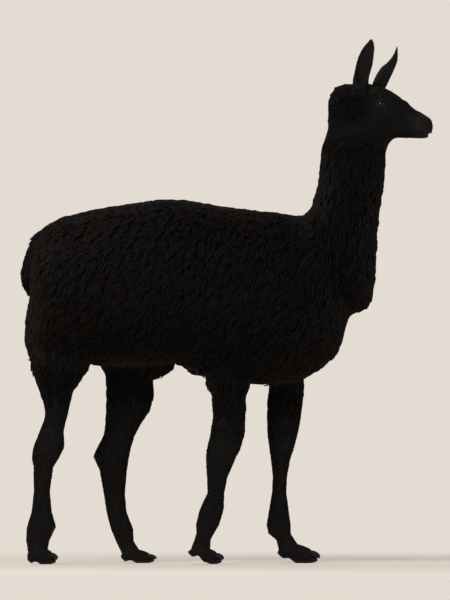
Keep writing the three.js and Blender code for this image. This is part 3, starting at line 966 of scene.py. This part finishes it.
def coat_fields(points, faces, nodes, coat, skin):
    """The skin's depth, the coat's length and its lie, and the broad way out, at each point."""
    depth = np.zeros(len(points))
    long = np.zeros(len(points))
    lie = np.zeros((len(points), 3))
    edges = edges_of(faces, len(points))
    normals = unit(spread(surface_normals(points, faces), edges, NORMAL_ROUNDS))
    for node in FLESH:
        here = among(nodes, node)
        depth[here], long[here], lie[here] = part_coat(node, points[here], normals[here], coat, skin)
    depth = spread(depth, edges, DEPTH_ROUNDS)
    long = spread(long, edges, LENGTH_ROUNDS)
    lie = spread(unit(tangent(lie, normals)), edges, LIE_ROUNDS)
    return depth, long, unit(tangent(lie, normals)), normals


# How much higher the neck's skin is set, in millimetres, at shares of its height, behind and in front.
NAPE_RISE = (0.0, 0.68, 0.84, 1.0)
NAPE_LIFT = (0.0, 0.0, 2.8, 2.8)
THROAT_RISE = (0.0, 0.1, 0.25, 0.42, 0.54, 0.65, 0.8, 1.0)
THROAT_LIFT = (-3.4, -3.4, -1.6, -1.4, -3.8, -1.5, 1.0, 1.0)
CHEST_SINK, RUMP_SINK, BELLY_SINK, POLL_SINK = 3.4, 2.0, 2.2, 2.2  # how much lower it is set there


def lift_of(points, normals, edges, nodes):
    """How much higher than the coat's depth says the skin is set at each point."""
    lift = by_part(LIFT)[nodes]
    rise = rise_in("neck", points)
    ahead = ease(normals[:, 0], -0.5, 0.5)
    nape, throat = np.interp(rise, NAPE_RISE, NAPE_LIFT), np.interp(rise, THROAT_RISE, THROAT_LIFT)
    lift = np.where(among(nodes, "neck"), nape * (1 - ahead) + throat * ahead, lift)
    chest, rump, belly = (ease(n, 0.3, 0.8) for n in (normals[:, 0], -normals[:, 0], -normals[:, 2]))
    sink = np.maximum.reduce([CHEST_SINK * chest, RUMP_SINK * rump, BELLY_SINK * belly])
    lift = np.where(among(nodes, "trunk"), -sink, lift)
    poll = ease(-in_head(points)[:, 0], 50, 90)
    lift = np.where(among(nodes, "head"), -POLL_SINK * poll, lift)
    return MM * spread(lift, edges, 16)


TIP_HEIGHT = 0.7  # how high a lock's tip stands over the skin, for 1 of the coat's depth
SHORTER = 0.84  # how much is left of a lock each time that it is cut
CUTS = 12
SLACK = 1.5 * MM  # how far a lock may stand out past the solids
HEAD_SLACK = -1.2 * MM


def reach_within(points, normals, depth, long, lie, tree, nodes):
    """The coat's length, shortened where a lock's tip would stand out past the solids."""
    slack = np.where(among(nodes, "head"), HEAD_SLACK, SLACK)
    roots = points + TIP_HEIGHT * depth[:, None] * normals
    share = np.ones(len(points))

    def stands_out(k):
        tip = roots[k] + share[k] * long[k] * lie[k]
        place, out, _, away = tree.find_nearest(tip)
        return math.copysign(away, out.dot(Vector(tip) - place)) > slack[k]

    too_long = range(len(points))
    for _ in range(CUTS):
        too_long = [k for k in too_long if stands_out(k)]
        share[too_long] *= SHORTER
    return share * long


ZONES = ["wool_right_rear", "wool_right_front", "wool_left_rear", "wool_left_front", "wool_neck", "wool_tail"]
ZONES += ["wool_upper_legs", "wool_crown", "hair_hind_legs", "hair_fore_legs", "hair_face", "hair_ears"]
SHORT = 15 * MM  # hair longer than this grows in locks, and shorter hair in tufts


def zones_of(points, faces, nodes, long):
    """The number of the coat piece that grows on each face."""
    middle = points[faces].mean(axis=1)
    node = nodes[faces[:, 0]]
    woolly = long[faces].mean(axis=1) > SHORT
    low, high = low_high("trunk")
    front = middle[:, 0] > low[0] + 0.5 * (high[0] - low[0])
    left = middle[:, 1] > 0
    trunk = [among(node, "trunk") & side & end for side in (~left, left) for end in (~front, front)]
    legs = among(node, *UPPER_LEGS, *CANNONS, *FEET)
    hind = among(node, *(name for name in FLESH if name.startswith("hind")))
    face = among(node, "head", "lower_jaw")
    whole = [among(node, "neck"), among(node, "tail")]
    short = [legs & hind, legs & ~hind, face, among(node, *EARS)]
    in_order = [*trunk, *whole, legs & woolly, face & woolly, *short]  # as ZONES lists them
    return np.select(in_order, range(len(ZONES))).astype(np.int32)


SHEET_MARGIN = 0.012
ROW_SLACK = 1.06  # how much wider a row is than a square of all the sheets


def flat_map(points, faces, nodes):
    """Where each face's corners lie on a flat map: a sheet for each node and way of facing, packed in rows."""
    facing = unit(ways_out(points, faces))
    axis = np.abs(facing).argmax(axis=1)
    back = facing[np.arange(len(faces)), axis] < 0
    sheet = nodes[faces[:, 0]] * 6 + axis * 2 + back
    corners = points[faces]
    flat = np.empty((len(faces), 3, 2))
    for k, (right, up) in enumerate(((1, 2), (0, 2), (0, 1))):
        flat[axis == k] = corners[axis == k][:, :, [right, up]]
    sizes, starts = {}, {}
    for number in np.unique(sheet):
        part = flat[sheet == number].reshape(-1, 2)
        starts[number] = part.min(axis=0)
        sizes[number] = part.max(axis=0) - starts[number] + SHEET_MARGIN
    row_width = ROW_SLACK * math.sqrt(sum(size[0] * size[1] for size in sizes.values()))
    x = y = tall = widest = 0.0
    for number in sorted(sizes, key=lambda k: -sizes[k][1]):
        wide, high = sizes[number]
        if x and x + wide > row_width:
            x, y, tall = 0.0, y + tall, 0.0
        flat[sheet == number] += np.array([x, y]) + SHEET_MARGIN / 2 - starts[number]
        x, tall = x + wide, max(tall, high)
        widest = max(widest, x)
    return flat / max(widest, y + tall)


HAIR_SHEEN = (0.6, 0.5, 0.42, 1)
# The third colour is painted shade: the near black laid into the nostrils, the mouth's crease and the lip's
# split.
LEATHER, PALE_LEATHER, CREASE_SHADE = (0.003, 0.0025, 0.0023), (0.0075, 0.006, 0.0054), (0.0006, 0.0005, 0.0005)
PEBBLES = 620.0  # pebbles of the leather in a metre


def hair_grain(tree, where):
    """Fine streaks: down the body and legs, and back along the face."""
    down = noise(stretched(where, (0.0011, 0.0011, 0.009)), 1.0, 3, 0.6)
    turn = (0, 0, math.atan2(HEAD_FORWARD[1], HEAD_FORWARD[0]))
    back = noise(stretched(where, (0.006, 0.0008, 0.0008), turn), 1.0, 3, 0.6)
    on_face = stored(tree, "face")
    return add(multiply(back, on_face), multiply(down, subtract(1, on_face)))


def coat_tone(where, coat, share):
    """The coat's colour: from root to tip by the share, browner where broad patches have weathered."""
    weathered = ranged(noise(where, 3.2, 3), 0.35, 0.7)
    brown = [gain * value for gain, value in zip((1.5, 1.3, 1.1), coat.tip)]
    return blended(share, coat.root, blended(multiply(weathered, 0.5), coat.tip, brown))


def skin_material(coat):
    """Short hair lying on the skin, and leathery lips, nostrils, lids and soles, with painted shade darkening
    the nostrils and the mouth's creases.
    """
    made, surface, where = material(
        "hide", Sheen_Weight=0.02, Sheen_Roughness=0.45, Sheen_Tint=HAIR_SHEEN, Specular_IOR_Level=0.14
    )
    tree = made.node_tree
    bare, hollow = stored(tree, "bare"), stored(tree, "hollow")
    grain = hair_grain(tree, where)
    hair = coat_tone(where, coat, swung(grain, 0.1, 0.75))
    leather = blended(swung(noise(where, 45, 4)), LEATHER, PALE_LEATHER)
    # Painted shade turns the colour near black in the nostrils, the mouth's crease and the lip's split.
    shown = blended(hollow, blended(bare, hair, leather), CREASE_SHADE)
    pebbles = result(tree, "ShaderNodeTexVoronoi", {"Vector": where, "Scale": PEBBLES})
    height = add(multiply(grain, subtract(1, bare)), multiply(multiply(pebbles, bare), 0.35))
    dressed(surface, shown, add(0.62, multiply(bare, -0.16)), height, 0.0012)
    return made


class LLAMA_OT_skin(bpy.types.Operator):
    """Makes one skin over all the flesh, inside it by the coat's depth, with lids, nostrils and lips"""

    bl_idname = "llama.skin"
    bl_label = "Skin"

    TRIANGLES = 126_000
    BROAD_ROUNDS = 12
    FINE_EYE = 34 * MM
    FINEST_EYE = 26 * MM
    MUZZLE = 62  # these are in millimetres, as the lines of the face are
    MUZZLE_TOP = -20
    FINE_NOSTRIL = 12
    FINE_MOUTH = 6

    def execute(self, context):
        settings, coat = context.scene.llama_skin, context.scene.llama_coat
        points, faces, tree, owners = first_skin(settings.voxel, self.TRIANGLES)
        nodes = nearest_nodes(points, tree, owners)
        edges = edges_of(faces, len(points))
        points = evened(points, edges, self.BROAD_ROUNDS, spread(by_part(BROAD)[nodes], edges, 6))
        points = rounded_ear_bases(points, edges, nodes)
        points = rounded_haunches(points, faces, edges, nodes)
        points = hollowed_ears(points, faces, edges, nodes)
        depth, long, lie, normals = coat_fields(points, faces, nodes, coat, settings)
        points = points - (depth + CLOSE_CUTS - lift_of(points, normals, edges, nodes))[:, None] * normals
        short = reach_within(points, normals, depth, long, lie, tree, nodes)
        short = np.minimum(short, spread(short, edges, 3))

        # From here on each point carries its fields along as the faces are split.
        wide = np.column_stack([points, depth, short, np.sqrt(short * long), lie])
        for near_enough in (self.close_to_face, self.close_to_eyes):
            wide, faces = self.finer(wide, faces, near_enough)
        points = spread(wide[:, :3], edges_of(faces, len(wide)), 1)
        for node, side in EYES.items():
            points = lidded(points, node, side)
        wide, faces = self.finer(np.hstack([points, wide[:, 3:]]), faces, self.close_to_nose)
        points, bare_face, hollow = shaped_face(wide[:, :3], faces)
        depth, long, broad = wide[:, 3:6].T
        nodes = nearest_nodes(points, tree, owners)
        normals = surface_normals(points, faces)
        face = among(nodes, "head", "lower_jaw").astype(float)
        mesh = mesh_of("skin", points, faces)
        for name, values in (
            ("lie", unit(tangent(wide[:, 6:], normals))),
            ("out", normals),
            ("depth", depth),
            ("long", long),
            ("broad", broad),
            ("bare", np.maximum(bare_share(points, nodes), bare_face)),
            # painted shade for the nostrils and creases, read by the skin's colour
            ("hollow", hollow),
            ("face", spread(face, edges_of(faces, len(points)), 6)),
        ):
            keep_field(mesh, name, values)
        keep_field(mesh, "zone", zones_of(points, faces, nodes, long), "FACE")
        flat = mesh.uv_layers.new(name="OFBake")
        flat.uv.foreach_set("vector", flat_map(points, faces, nodes).ravel())
        mesh.materials.append(skin_material(coat))
        settle(object_of("skin", mesh), "face_hair", *FLESH)
        return {"FINISHED"}

    def finer(self, wide, faces, near_enough):
        """The surface with the faces that are near enough split in four."""
        return refine(wide, faces, near_enough(wide[faces][:, :, :3].mean(axis=1)))

    def from_eyes(self, middle):
        """How far each face is from the nearer eye."""
        return np.min([lengths(middle - eye) for eye in eye_middles.values()], axis=0)

    def close_to_face(self, middle):
        """Faces round the eyes and on the muzzle."""
        head = in_head(middle)
        near = (head[:, 0] > self.MUZZLE) & (head[:, 2] < self.MUZZLE_TOP)
        near &= lengths(head) < HEAD_REACH
        return near | (self.from_eyes(middle) < self.FINE_EYE)

    def close_to_eyes(self, middle):
        """Faces at the lids."""
        return self.from_eyes(middle) < self.FINEST_EYE

    def close_to_nose(self, middle):
        """Faces at the nostrils and the mouth."""
        half = mirrored(in_head(middle))
        near = line_distance(half, NOSTRIL_LINE)[0] < self.FINE_NOSTRIL
        return near | (line_distance(half, MOUTH_LINE)[0] < self.FINE_MOUTH)


# --- Locks and tufts ---

# Rings of a strand: the share along it, half its width, the height of its middle, and its thickness.
LOCK_RINGS = [(0, 0.26, -0.15, 0.5), (0.3, 0.5, 0.45, 0.5), (0.62, 0.44, 0.74, 0.4), (0.86, 0.24, 0.78, 0.25)]
TUFT_RINGS = [(0, 0.42, -0.2, 0.8), (0.5, 0.46, 0.6, 0.7)]
LOCK_BENDS = (-0.8, -0.5, -0.2, 0.2, 0.5, 0.8)
TUFT_BENDS = (-0.3, -0.2, -0.1, 0.1, 0.2, 0.3)
BEND_TURN = 4.0  # how far round a strand's bend goes, in radians


def strand_shape(name, rings, bend):
    """A strand of unit length with a three-sided section. Its root is at the origin, and Z runs along it."""
    points, flat = [], []
    for share, half, height, thick in rings:
        sway = bend * math.sin(BEND_TURN * share)
        points += [
            (height + 0.6 * thick, sway, share),
            (height - 0.4 * thick, sway + half, share),
            (height - 0.4 * thick, sway - half, share),
        ]
        flat += [(0.5, share), (1.0, share), (0.0, share)]
    points.append((rings[-1][2] - 0.05, bend * math.sin(BEND_TURN), 1.0))
    flat.append((0.5, 1.0))
    mesh = mesh_of(name, points, turned_out(points, spike_faces(0, len(rings))))
    layer = mesh.uv_layers.new(name="strand")
    for loop in mesh.loops:
        layer.data[loop.index].uv = flat[loop.vertex_index]
    return mesh


def strand_collection(name, rings, bends):
    """A hidden collection with one strand shape for each bend."""
    group = bpy.data.collections.new(name)
    for k, bend in enumerate(bends):
        mesh = strand_shape(f"{name}_{k}", rings, bend)
        group.objects.link(bpy.data.objects.new(mesh.name, mesh))
    return group


# How strands differ by chance in length, width and height, and their height from a clump's middle to its edge.
LENGTHS, WIDTHS, HEIGHTS = (0.7, 1.15), (0.75, 1.2), (0.9, 1.2)
CLUMP_HEIGHTS, CLUMP_EDGE = (1.16, 0.88), 0.65
SWIRL_SCALE, SWIRL_TURN = 9.0, 4.0  # how the lie turns over broad patches
MAP_PATCH = 0.003  # how much of the flat map's width a strand takes up


def coat_tree():
    """Grows strands on the faces of one zone, with the lie, length and depth that the stored fields say."""
    tree = bpy.data.node_groups.new("coat", "GeometryNodeTree")
    for name, kind in (
        ("Geometry", "Geometry"),
        ("Zone", "Int"),
        ("Spacing", "Float"),
        ("Strands", "Collection"),
        ("Width", "Float"),
        ("Clump", "Float"),
        ("Gather", "Float"),
        ("Stray", "Float"),
        ("Seed", "Int"),
        ("Material", "Material"),
    ):
        tree.interface.new_socket(name, in_out="INPUT", socket_type="NodeSocket" + kind)
    tree.interface.new_socket("Geometry", in_out="OUTPUT", socket_type="NodeSocketGeometry")
    given = put(tree, "NodeGroupInput").outputs

    def named(name, kind="FLOAT"):
        return result(tree, "GeometryNodeInputNamedAttribute", {"Name": name}, data_type=kind)

    def chance(low, high, number):
        """A number between low and high for each root. Each use has a number of its own."""
        inputs = {"Min": low, "Max": high, "Seed": add(given["Seed"], number)}
        return result(tree, "FunctionNodeRandomValue", inputs, data_type="FLOAT")

    def keep(geometry, name, value, kind, domain="POINT"):
        inputs = {"Geometry": geometry, "Name": name, "Value": value}
        return result(tree, "GeometryNodeStoreNamedAttribute", inputs, data_type=kind, domain=domain)

    # Roots, evenly scattered where hair grows.
    zone = {"A": named("zone", "INT"), "B": given["Zone"]}
    in_zone = result(tree, "FunctionNodeCompare", zone, data_type="INT", operation="EQUAL")
    spacing = given["Spacing"]
    scatter = {
        "Mesh": given["Geometry"],
        "Selection": in_zone,
        "Distance Min": spacing,
        "Density Max": divide(3.0, multiply(spacing, spacing)),
        "Density Factor": subtract(1.0, named("bare")),
        "Seed": given["Seed"],
    }
    roots = result(tree, "GeometryNodeDistributePointsOnFaces", scatter, distribute_method="POISSON")
    roots = keep(roots, "root_place", named("OFBake", "FLOAT_VECTOR"), "FLOAT_VECTOR")
    roots = keep(roots, "tone", chance(0.0, 1.0, 11), "FLOAT")

    # The way each strand lies: along the stored lie, a little astray, and in towards the middle of its clump.
    where = result(tree, "GeometryNodeInputPosition")
    out = named("out", "FLOAT_VECTOR")
    swirl = multiply(subtract(noise(where, SWIRL_SCALE), 0.5), SWIRL_TURN)
    astray = add(swirl, chance(-1.0, 1.0, 12))
    turn = {"Vector": named("lie", "FLOAT_VECTOR"), "Axis": out, "Angle": multiply(astray, given["Stray"])}
    lie = result(tree, "ShaderNodeVectorRotate", turn, rotation_type="AXIS_ANGLE")
    cell = {"Vector": where, "Scale": divide(1.0, given["Clump"]), "Randomness": 0.9}
    cells = put(tree, "ShaderNodeTexVoronoi", cell).outputs
    inward = vector_maths("SUBTRACT", cells["Position"], where)
    inward = vector_maths("SUBTRACT", inward, vector_maths("PROJECT", inward, out))
    gather = divide(multiply(named("long"), given["Gather"]), given["Clump"])
    inward = vector_maths("SCALE", inward, gather)
    lie = vector_maths("ADD", vector_maths("SCALE", lie, named("long")), inward)
    axes = {"Primary Axis": lie, "Secondary Axis": out}
    rotation = result(tree, "FunctionNodeAxesToRotation", axes, primary_axis="Z", secondary_axis="X")

    # Its size, with the middle of a clump standing higher.
    long = multiply(named("long"), chance(*LENGTHS, 13))
    wide = multiply(multiply(named("broad"), given["Width"]), chance(*WIDTHS, 14))
    clump = ranged(cells["Distance"], 0.0, CLUMP_EDGE, *CLUMP_HEIGHTS)
    tall = multiply(multiply(named("depth"), clump), chance(*HEIGHTS, 15))

    strands = {"Collection": given["Strands"], "Separate Children": True, "Reset Children": True}
    grown = {
        "Points": roots,
        "Instance": result(tree, "GeometryNodeCollectionInfo", strands, transform_space="ORIGINAL"),
        "Pick Instance": True,
        "Instance Index": chance(0.0, len(LOCK_BENDS) - 0.001, 16),
        "Rotation": rotation,
        "Scale": combined(tall, wide, long),
    }
    mesh = result(tree, "GeometryNodeInstanceOnPoints", grown)
    mesh = result(tree, "GeometryNodeRealizeInstances", {"Geometry": mesh})
    patch = vector_maths("SCALE", named("strand", "FLOAT_VECTOR"), MAP_PATCH)
    place = vector_maths("ADD", named("root_place", "FLOAT_VECTOR"), patch)
    mesh = keep(mesh, "OFBake", place, "FLOAT2", "CORNER")
    mesh = result(tree, "GeometryNodeSetMaterial", {"Geometry": mesh, "Material": given["Material"]})
    put(tree, "NodeGroupOutput", {"Geometry": mesh})
    return tree


def coat_material(name, coat, gloss):
    """Hair in locks: darker at the root, weathered at the tip, each lock its own tone, with fine strands."""
    made, surface, where = material(
        name, Sheen_Weight=0.03, Sheen_Roughness=0.4, Sheen_Tint=HAIR_SHEEN, Specular_IOR_Level=0.1 + gloss
    )
    tree = made.node_tree
    strand = result(tree, "ShaderNodeUVMap", uv_map="strand")
    across, along, _ = put(tree, "ShaderNodeSeparateXYZ", {0: strand}).outputs[:]
    tone = stored(tree, "tone")
    fibres = noise(combined(multiply(across, 7.0), multiply(along, 1.4), multiply(tone, 40.0)), 1.0, 2.0, 0.6)
    share = add(add(multiply(along, 0.55), multiply(tone, 0.35)), swung(fibres, -0.15, 0.15))
    dressed(surface, coat_tone(where, coat, share), swung(fibres, 0.66 - gloss, 0.5 - gloss), fibres, 0.0016)
    return made


SKIN_FIELDS = ("lie", "out", "depth", "long", "broad", "bare", "hollow", "face", "zone", "root_place")


def grow(skin_mesh, tree, name, slot, **values):
    """One coat piece, grown on its zone of the skin."""
    host = object_of(name + "_host", skin_mesh)
    modifier = host.modifiers.new("coat", "NODES")
    modifier.node_group = tree
    sockets = {item.name: item.identifier for item in tree.interface.items_tree if item.in_out == "INPUT"}
    for key, value in {"Zone": ZONES.index(name), **values}.items():
        modifier[sockets[key]] = value
    mesh = finished_mesh(host, name)
    for field in SKIN_FIELDS:
        if field in mesh.attributes:
            mesh.attributes.remove(mesh.attributes[field])
    settle(object_of(name, mesh), slot)


class LLAMA_OT_coat(bpy.types.Operator):
    """Grows the wool in locks and the short hair in tufts over the skin"""

    bl_idname = "llama.coat"
    bl_label = "Coat"

    # Widths are for a length of 1, clumps are metres across, and gathers and strays are how far strands lean
    # into their clump and off the lie.
    WOOL = {"Width": 0.095, "Clump": 0.03, "Gather": 0.5, "Stray": 0.2}
    HAIR = {"Width": 0.22, "Clump": 0.014, "Gather": 0.15, "Stray": 0.16}
    HAIR_GLOSS = 0.05

    def execute(self, context):
        coat = context.scene.llama_coat
        skin_mesh = bpy.data.objects["skin"].data
        tree = coat_tree()
        locks = {
            "Strands": strand_collection("lock", LOCK_RINGS, LOCK_BENDS),
            "Material": coat_material("wool", coat, 0.0),
            **self.WOOL,
        }
        tufts = {
            "Strands": strand_collection("tuft", TUFT_RINGS, TUFT_BENDS),
            "Material": coat_material("short_hair", coat, self.HAIR_GLOSS),
            **self.HAIR,
        }
        slots = {"hair_face": "face_hair", "hair_ears": "ear_hair"}
        spacings = dict.fromkeys(slots, coat.face_spacing) | {"wool_crown": 1.2 * coat.face_spacing}
        for number, name in enumerate(ZONES):
            woolly = name.startswith("wool")
            values = dict(locks if woolly else tufts, Seed=coat.seed + number)
            values["Spacing"] = spacings.get(name, coat.lock_spacing if woolly else coat.tuft_spacing)
            if name == "hair_face":
                values["Gather"] = 0.0
            grow(skin_mesh, tree, name, slots.get(name, "wool" if woolly else "leg_hair"), **values)
        return {"FINISHED"}


# --- Eyes, lashes and nails ---

PUPIL_HALF = (0.46, 0.2)  # half its length and height, as shares of the eyeball's radius
PUPIL_CORNER = 2.4
PUPIL, EYE_RIM = (0.0015, 0.0015, 0.002), (0.006, 0.0035, 0.0028)
IRIS, PALE_IRIS = (0.006, 0.0026, 0.0014), (0.018, 0.0085, 0.004)


def eye_material():
    """A wet dark eye with a long pupil and a brown iris in fine spokes."""
    made, surface, _ = material("eye", Roughness=0.06, Specular_IOR_Level=0.14)
    tree = made.node_tree
    gaze = stored(tree, "gaze", "Vector")
    along, across, _ = put(tree, "ShaderNodeSeparateXYZ", {0: gaze}).outputs[:]
    shares = [maths("ABSOLUTE", divide(value, half)) for value, half in zip((along, across), PUPIL_HALF)]
    pupil = add(*(maths("POWER", share, PUPIL_CORNER) for share in shares))
    ring = maths("SQRT", add(multiply(along, along), multiply(across, across)))
    spokes = noise(combined(multiply(maths("ARCTAN2", across, along), 9.0), multiply(ring, 2.0)), 1.6, 4)
    iris = blended(ranged(ring, 0.6, 0.74), blended(swung(spokes), IRIS, PALE_IRIS), EYE_RIM)
    dressed(surface, blended(ranged(pupil, 0.85, 1.15), PUPIL, iris))
    return made


BALL_TURNS = 48
BALL_ROWS = 32
BALL_INSET = 0.9 * MM  # how far the eyeball lies inside its solid
CORNEA = 0.8 * MM  # how far the cornea stands out of it
CORNEA_REACH = 0.62


def ball(node, side):
    """The eyeball's points and faces, and each point's place along and across the gaze."""
    places, faces = [(0, 0, 1)], []
    for lean in math.pi * np.arange(1, BALL_ROWS) / BALL_ROWS:
        sin, cos = math.sin(lean), math.cos(lean)
        places += [(sin * math.cos(a), sin * math.sin(a), cos) for a in turns(BALL_TURNS)]
    places = np.array([*places, (0, 0, -1)])
    lean = np.arccos(np.clip(places[:, 2], -1, 1))
    reach = EYE_RADIUS - BALL_INSET + CORNEA * hump(lean, CORNEA_REACH)
    points = (places * reach[:, None]) @ eye_frame(side)
    last = len(places) - 1
    for k in range(BALL_TURNS):
        j = (k + 1) % BALL_TURNS
        faces += [(0, 1 + k, 1 + j), (last, last - BALL_TURNS + j, last - BALL_TURNS + k)]
        for row in range(BALL_ROWS - 2):
            a, b = 1 + row * BALL_TURNS + k, 1 + row * BALL_TURNS + j
            faces += [(a, a + BALL_TURNS, b + BALL_TURNS), (a, b + BALL_TURNS, b)]
    return eye_middles[node] + points, turned_out(points, faces), places


class LLAMA_OT_eyes(bpy.types.Operator):
    """Makes both eyeballs"""

    bl_idname = "llama.eyes"
    bl_label = "Eyes"

    def execute(self, context):
        wet = eye_material()
        for node, side in EYES.items():
            points, faces, places = ball(node, side)
            mesh = mesh_of(node.replace("eye", "eyeball"), points, faces)
            keep_field(mesh, "gaze", places)
            mesh.materials.append(wet)
            settle(object_of(mesh.name, mesh), "eye", node)
        return {"FINISHED"}


def lash_material(coat):
    """Smooth black lashes."""
    made, surface, where = material("lash", Specular_IOR_Level=0.15)
    tone = noise(where, 900)
    dressed(surface, blended(tone, coat.root, coat.tip), swung(tone, 0.35, 0.5))
    return made


class LLAMA_OT_lashes(bpy.types.Operator):
    """Sets long lashes along the upper lids"""

    bl_idname = "llama.lashes"
    bl_label = "Lashes"

    PER_EYE = 34
    SEGMENTS = 4
    LENGTH = 15  # these are in millimetres, as the opening between the lids is
    SHORTER_AT_CORNERS = 5
    THICK = 0.32

    def lash(self, share, chance):
        """The points of one lash, at a share of -1 to 1 along the lid, in the eye's own directions."""
        share = share + chance.uniform(-0.02, 0.02)
        along = 0.92 * LID_HALF * share
        across = LID_UP * (1 - abs(along / LID_HALF) ** LID_CORNER) ** (1 / LID_CORNER) + 1.0
        out = math.sqrt(max((EYE_RADIUS / MM + 1.6) ** 2 - along**2 - across**2, 1))
        reach = (self.LENGTH - self.SHORTER_AT_CORNERS * share * share) * chance.uniform(0.8, 1.1)
        fan = 0.5 * share + chance.uniform(-0.12, 0.12)
        points = []
        for t in np.arange(self.SEGMENTS + 1) / self.SEGMENTS:
            place = np.array([along, across, out])
            place += reach * np.array([fan * t, -0.28 * t + 0.42 * t * t, 0.95 * t - 0.2 * t * t])
            thick = self.THICK * (1 - 0.8 * t)
            ring = [place + thick * np.array([math.cos(a), math.sin(a), 0]) for a in turns(3)]
            points += ring if t < 1 else [place]
        return np.array(points)

    def execute(self, context):
        chance = np.random.default_rng(5)
        points, faces = [], []
        for node, side in EYES.items():
            for k in range(self.PER_EYE):
                local = self.lash((k + 0.5) / self.PER_EYE * 2 - 1, chance)
                new = (local * MM) @ eye_frame(side)
                faces += (turned_out(new, spike_faces(0, self.SEGMENTS)) + len(points)).tolist()
                points += (eye_middles[node] + new).tolist()
        mesh = mesh_of("lashes", points, faces)
        mesh.materials.append(lash_material(context.scene.llama_coat))
        settle(object_of("lashes", mesh), "face_hair")
        return {"FINISHED"}


HORN, PALE_HORN, SCUFFED = (0.0035, 0.0028, 0.0024), (0.009, 0.007, 0.0056), (0.017, 0.0138, 0.011)


def horn_material():
    """Dark horn with grain along the nail, scuffed pale in small patches."""
    made, surface, where = material("horn", Specular_IOR_Level=0.2)
    grain = noise(stretched(where, (0.02, 0.0012, 0.0012)), 1.0, 4, 0.65)
    scuffs = noise(where, 240, 3)
    base = blended(ranged(scuffs, 0.55, 0.75, 0, 0.5), blended(swung(grain), HORN, PALE_HORN), SCUFFED)
    dressed(surface, base, swung(scuffs, 0.42, 0.66), grain, 0.0008)
    return made


class LLAMA_OT_nails(bpy.types.Operator):
    """Makes the eight nails, rooted in the toes"""

    bl_idname = "llama.nails"
    bl_label = "Nails"

    ROOT = 9 * MM
    BASE = 0.15  # the share of a nail's length that is its base

    def claw(self, points):
        """A nail's points as a claw: lifted below, drawn in to a point, and with its back in the toe."""
        low, high = points.min(axis=0), points.max(axis=0)
        size = high - low
        middle = (low[1] + high[1]) / 2
        along, _, up = ((points - low) / size).T
        across = (points[:, 1] - middle) / (size[1] / 2)
        narrow = 0.9 - 0.42 * along**1.6
        lifted = (1 - up) * (0.5 - 0.36 * along**1.5)
        keel = 0.07 * up * (1 - np.abs(across)) * (1 - along)
        x, y, z = points.T
        shape = np.stack([x, middle + (y - middle) * narrow, z + size[2] * (lifted + keel)], axis=1)
        base = along < self.BASE
        heart = shape[base].mean(axis=0)
        shape[base] = heart + (shape[base] - heart) * 0.8 - [self.ROOT, 0, 0]
        return shape

    def execute(self, context):
        horn = horn_material()
        for node in NAILS:
            points, faces = merged_copy(node)
            rough = object_of(node + "_rough", mesh_of(node + "_rough", self.claw(points), faces))
            rounding = rough.modifiers.new("rounding", "SUBSURF")
            rounding.levels = rounding.render_levels = 2
            mesh = finished_mesh(rough, node.replace("nail", "claw"))
            mesh.shade_smooth()
            mesh.materials.clear()
            mesh.materials.append(horn)
            settle(object_of(mesh.name, mesh), "horn", node)
        return {"FINISHED"}


# --- Panel and run ---

OPERATORS = (LLAMA_OT_stage, LLAMA_OT_skin, LLAMA_OT_coat, LLAMA_OT_eyes, LLAMA_OT_lashes, LLAMA_OT_nails)


class LLAMA_PT_panel(bpy.types.Panel):
    """Lists the llama's pieces in the sidebar"""

    bl_idname = "LLAMA_PT_panel"
    bl_label = "Llama"
    bl_space_type = "VIEW_3D"
    bl_region_type = "UI"
    bl_category = "Llama"

    def draw(self, context):
        for operator in OPERATORS:
            self.layout.operator(operator.bl_idname)
        for name, group in SETTINGS.items():
            box = self.layout.box()
            for key in group.__annotations__:
                box.prop(getattr(context.scene, name), key)


def register():
    """Makes the settings, operators and panel known."""
    for name, group in SETTINGS.items():
        bpy.utils.register_class(group)
        setattr(bpy.types.Scene, name, PointerProperty(type=group))
    for operator in (*OPERATORS, LLAMA_PT_panel):
        bpy.utils.register_class(operator)


def unregister():
    """Takes the settings, operators and panel away again."""
    for operator in reversed((*OPERATORS, LLAMA_PT_panel)):
        bpy.utils.unregister_class(operator)
    for name, group in SETTINGS.items():
        delattr(bpy.types.Scene, name)
        bpy.utils.unregister_class(group)


def main():
    """Makes every piece in turn."""
    register()
    for operator in OPERATORS:
        group, name = operator.bl_idname.split(".")
        getattr(getattr(bpy.ops, group), name)()


if __name__ == "__main__":
    main()
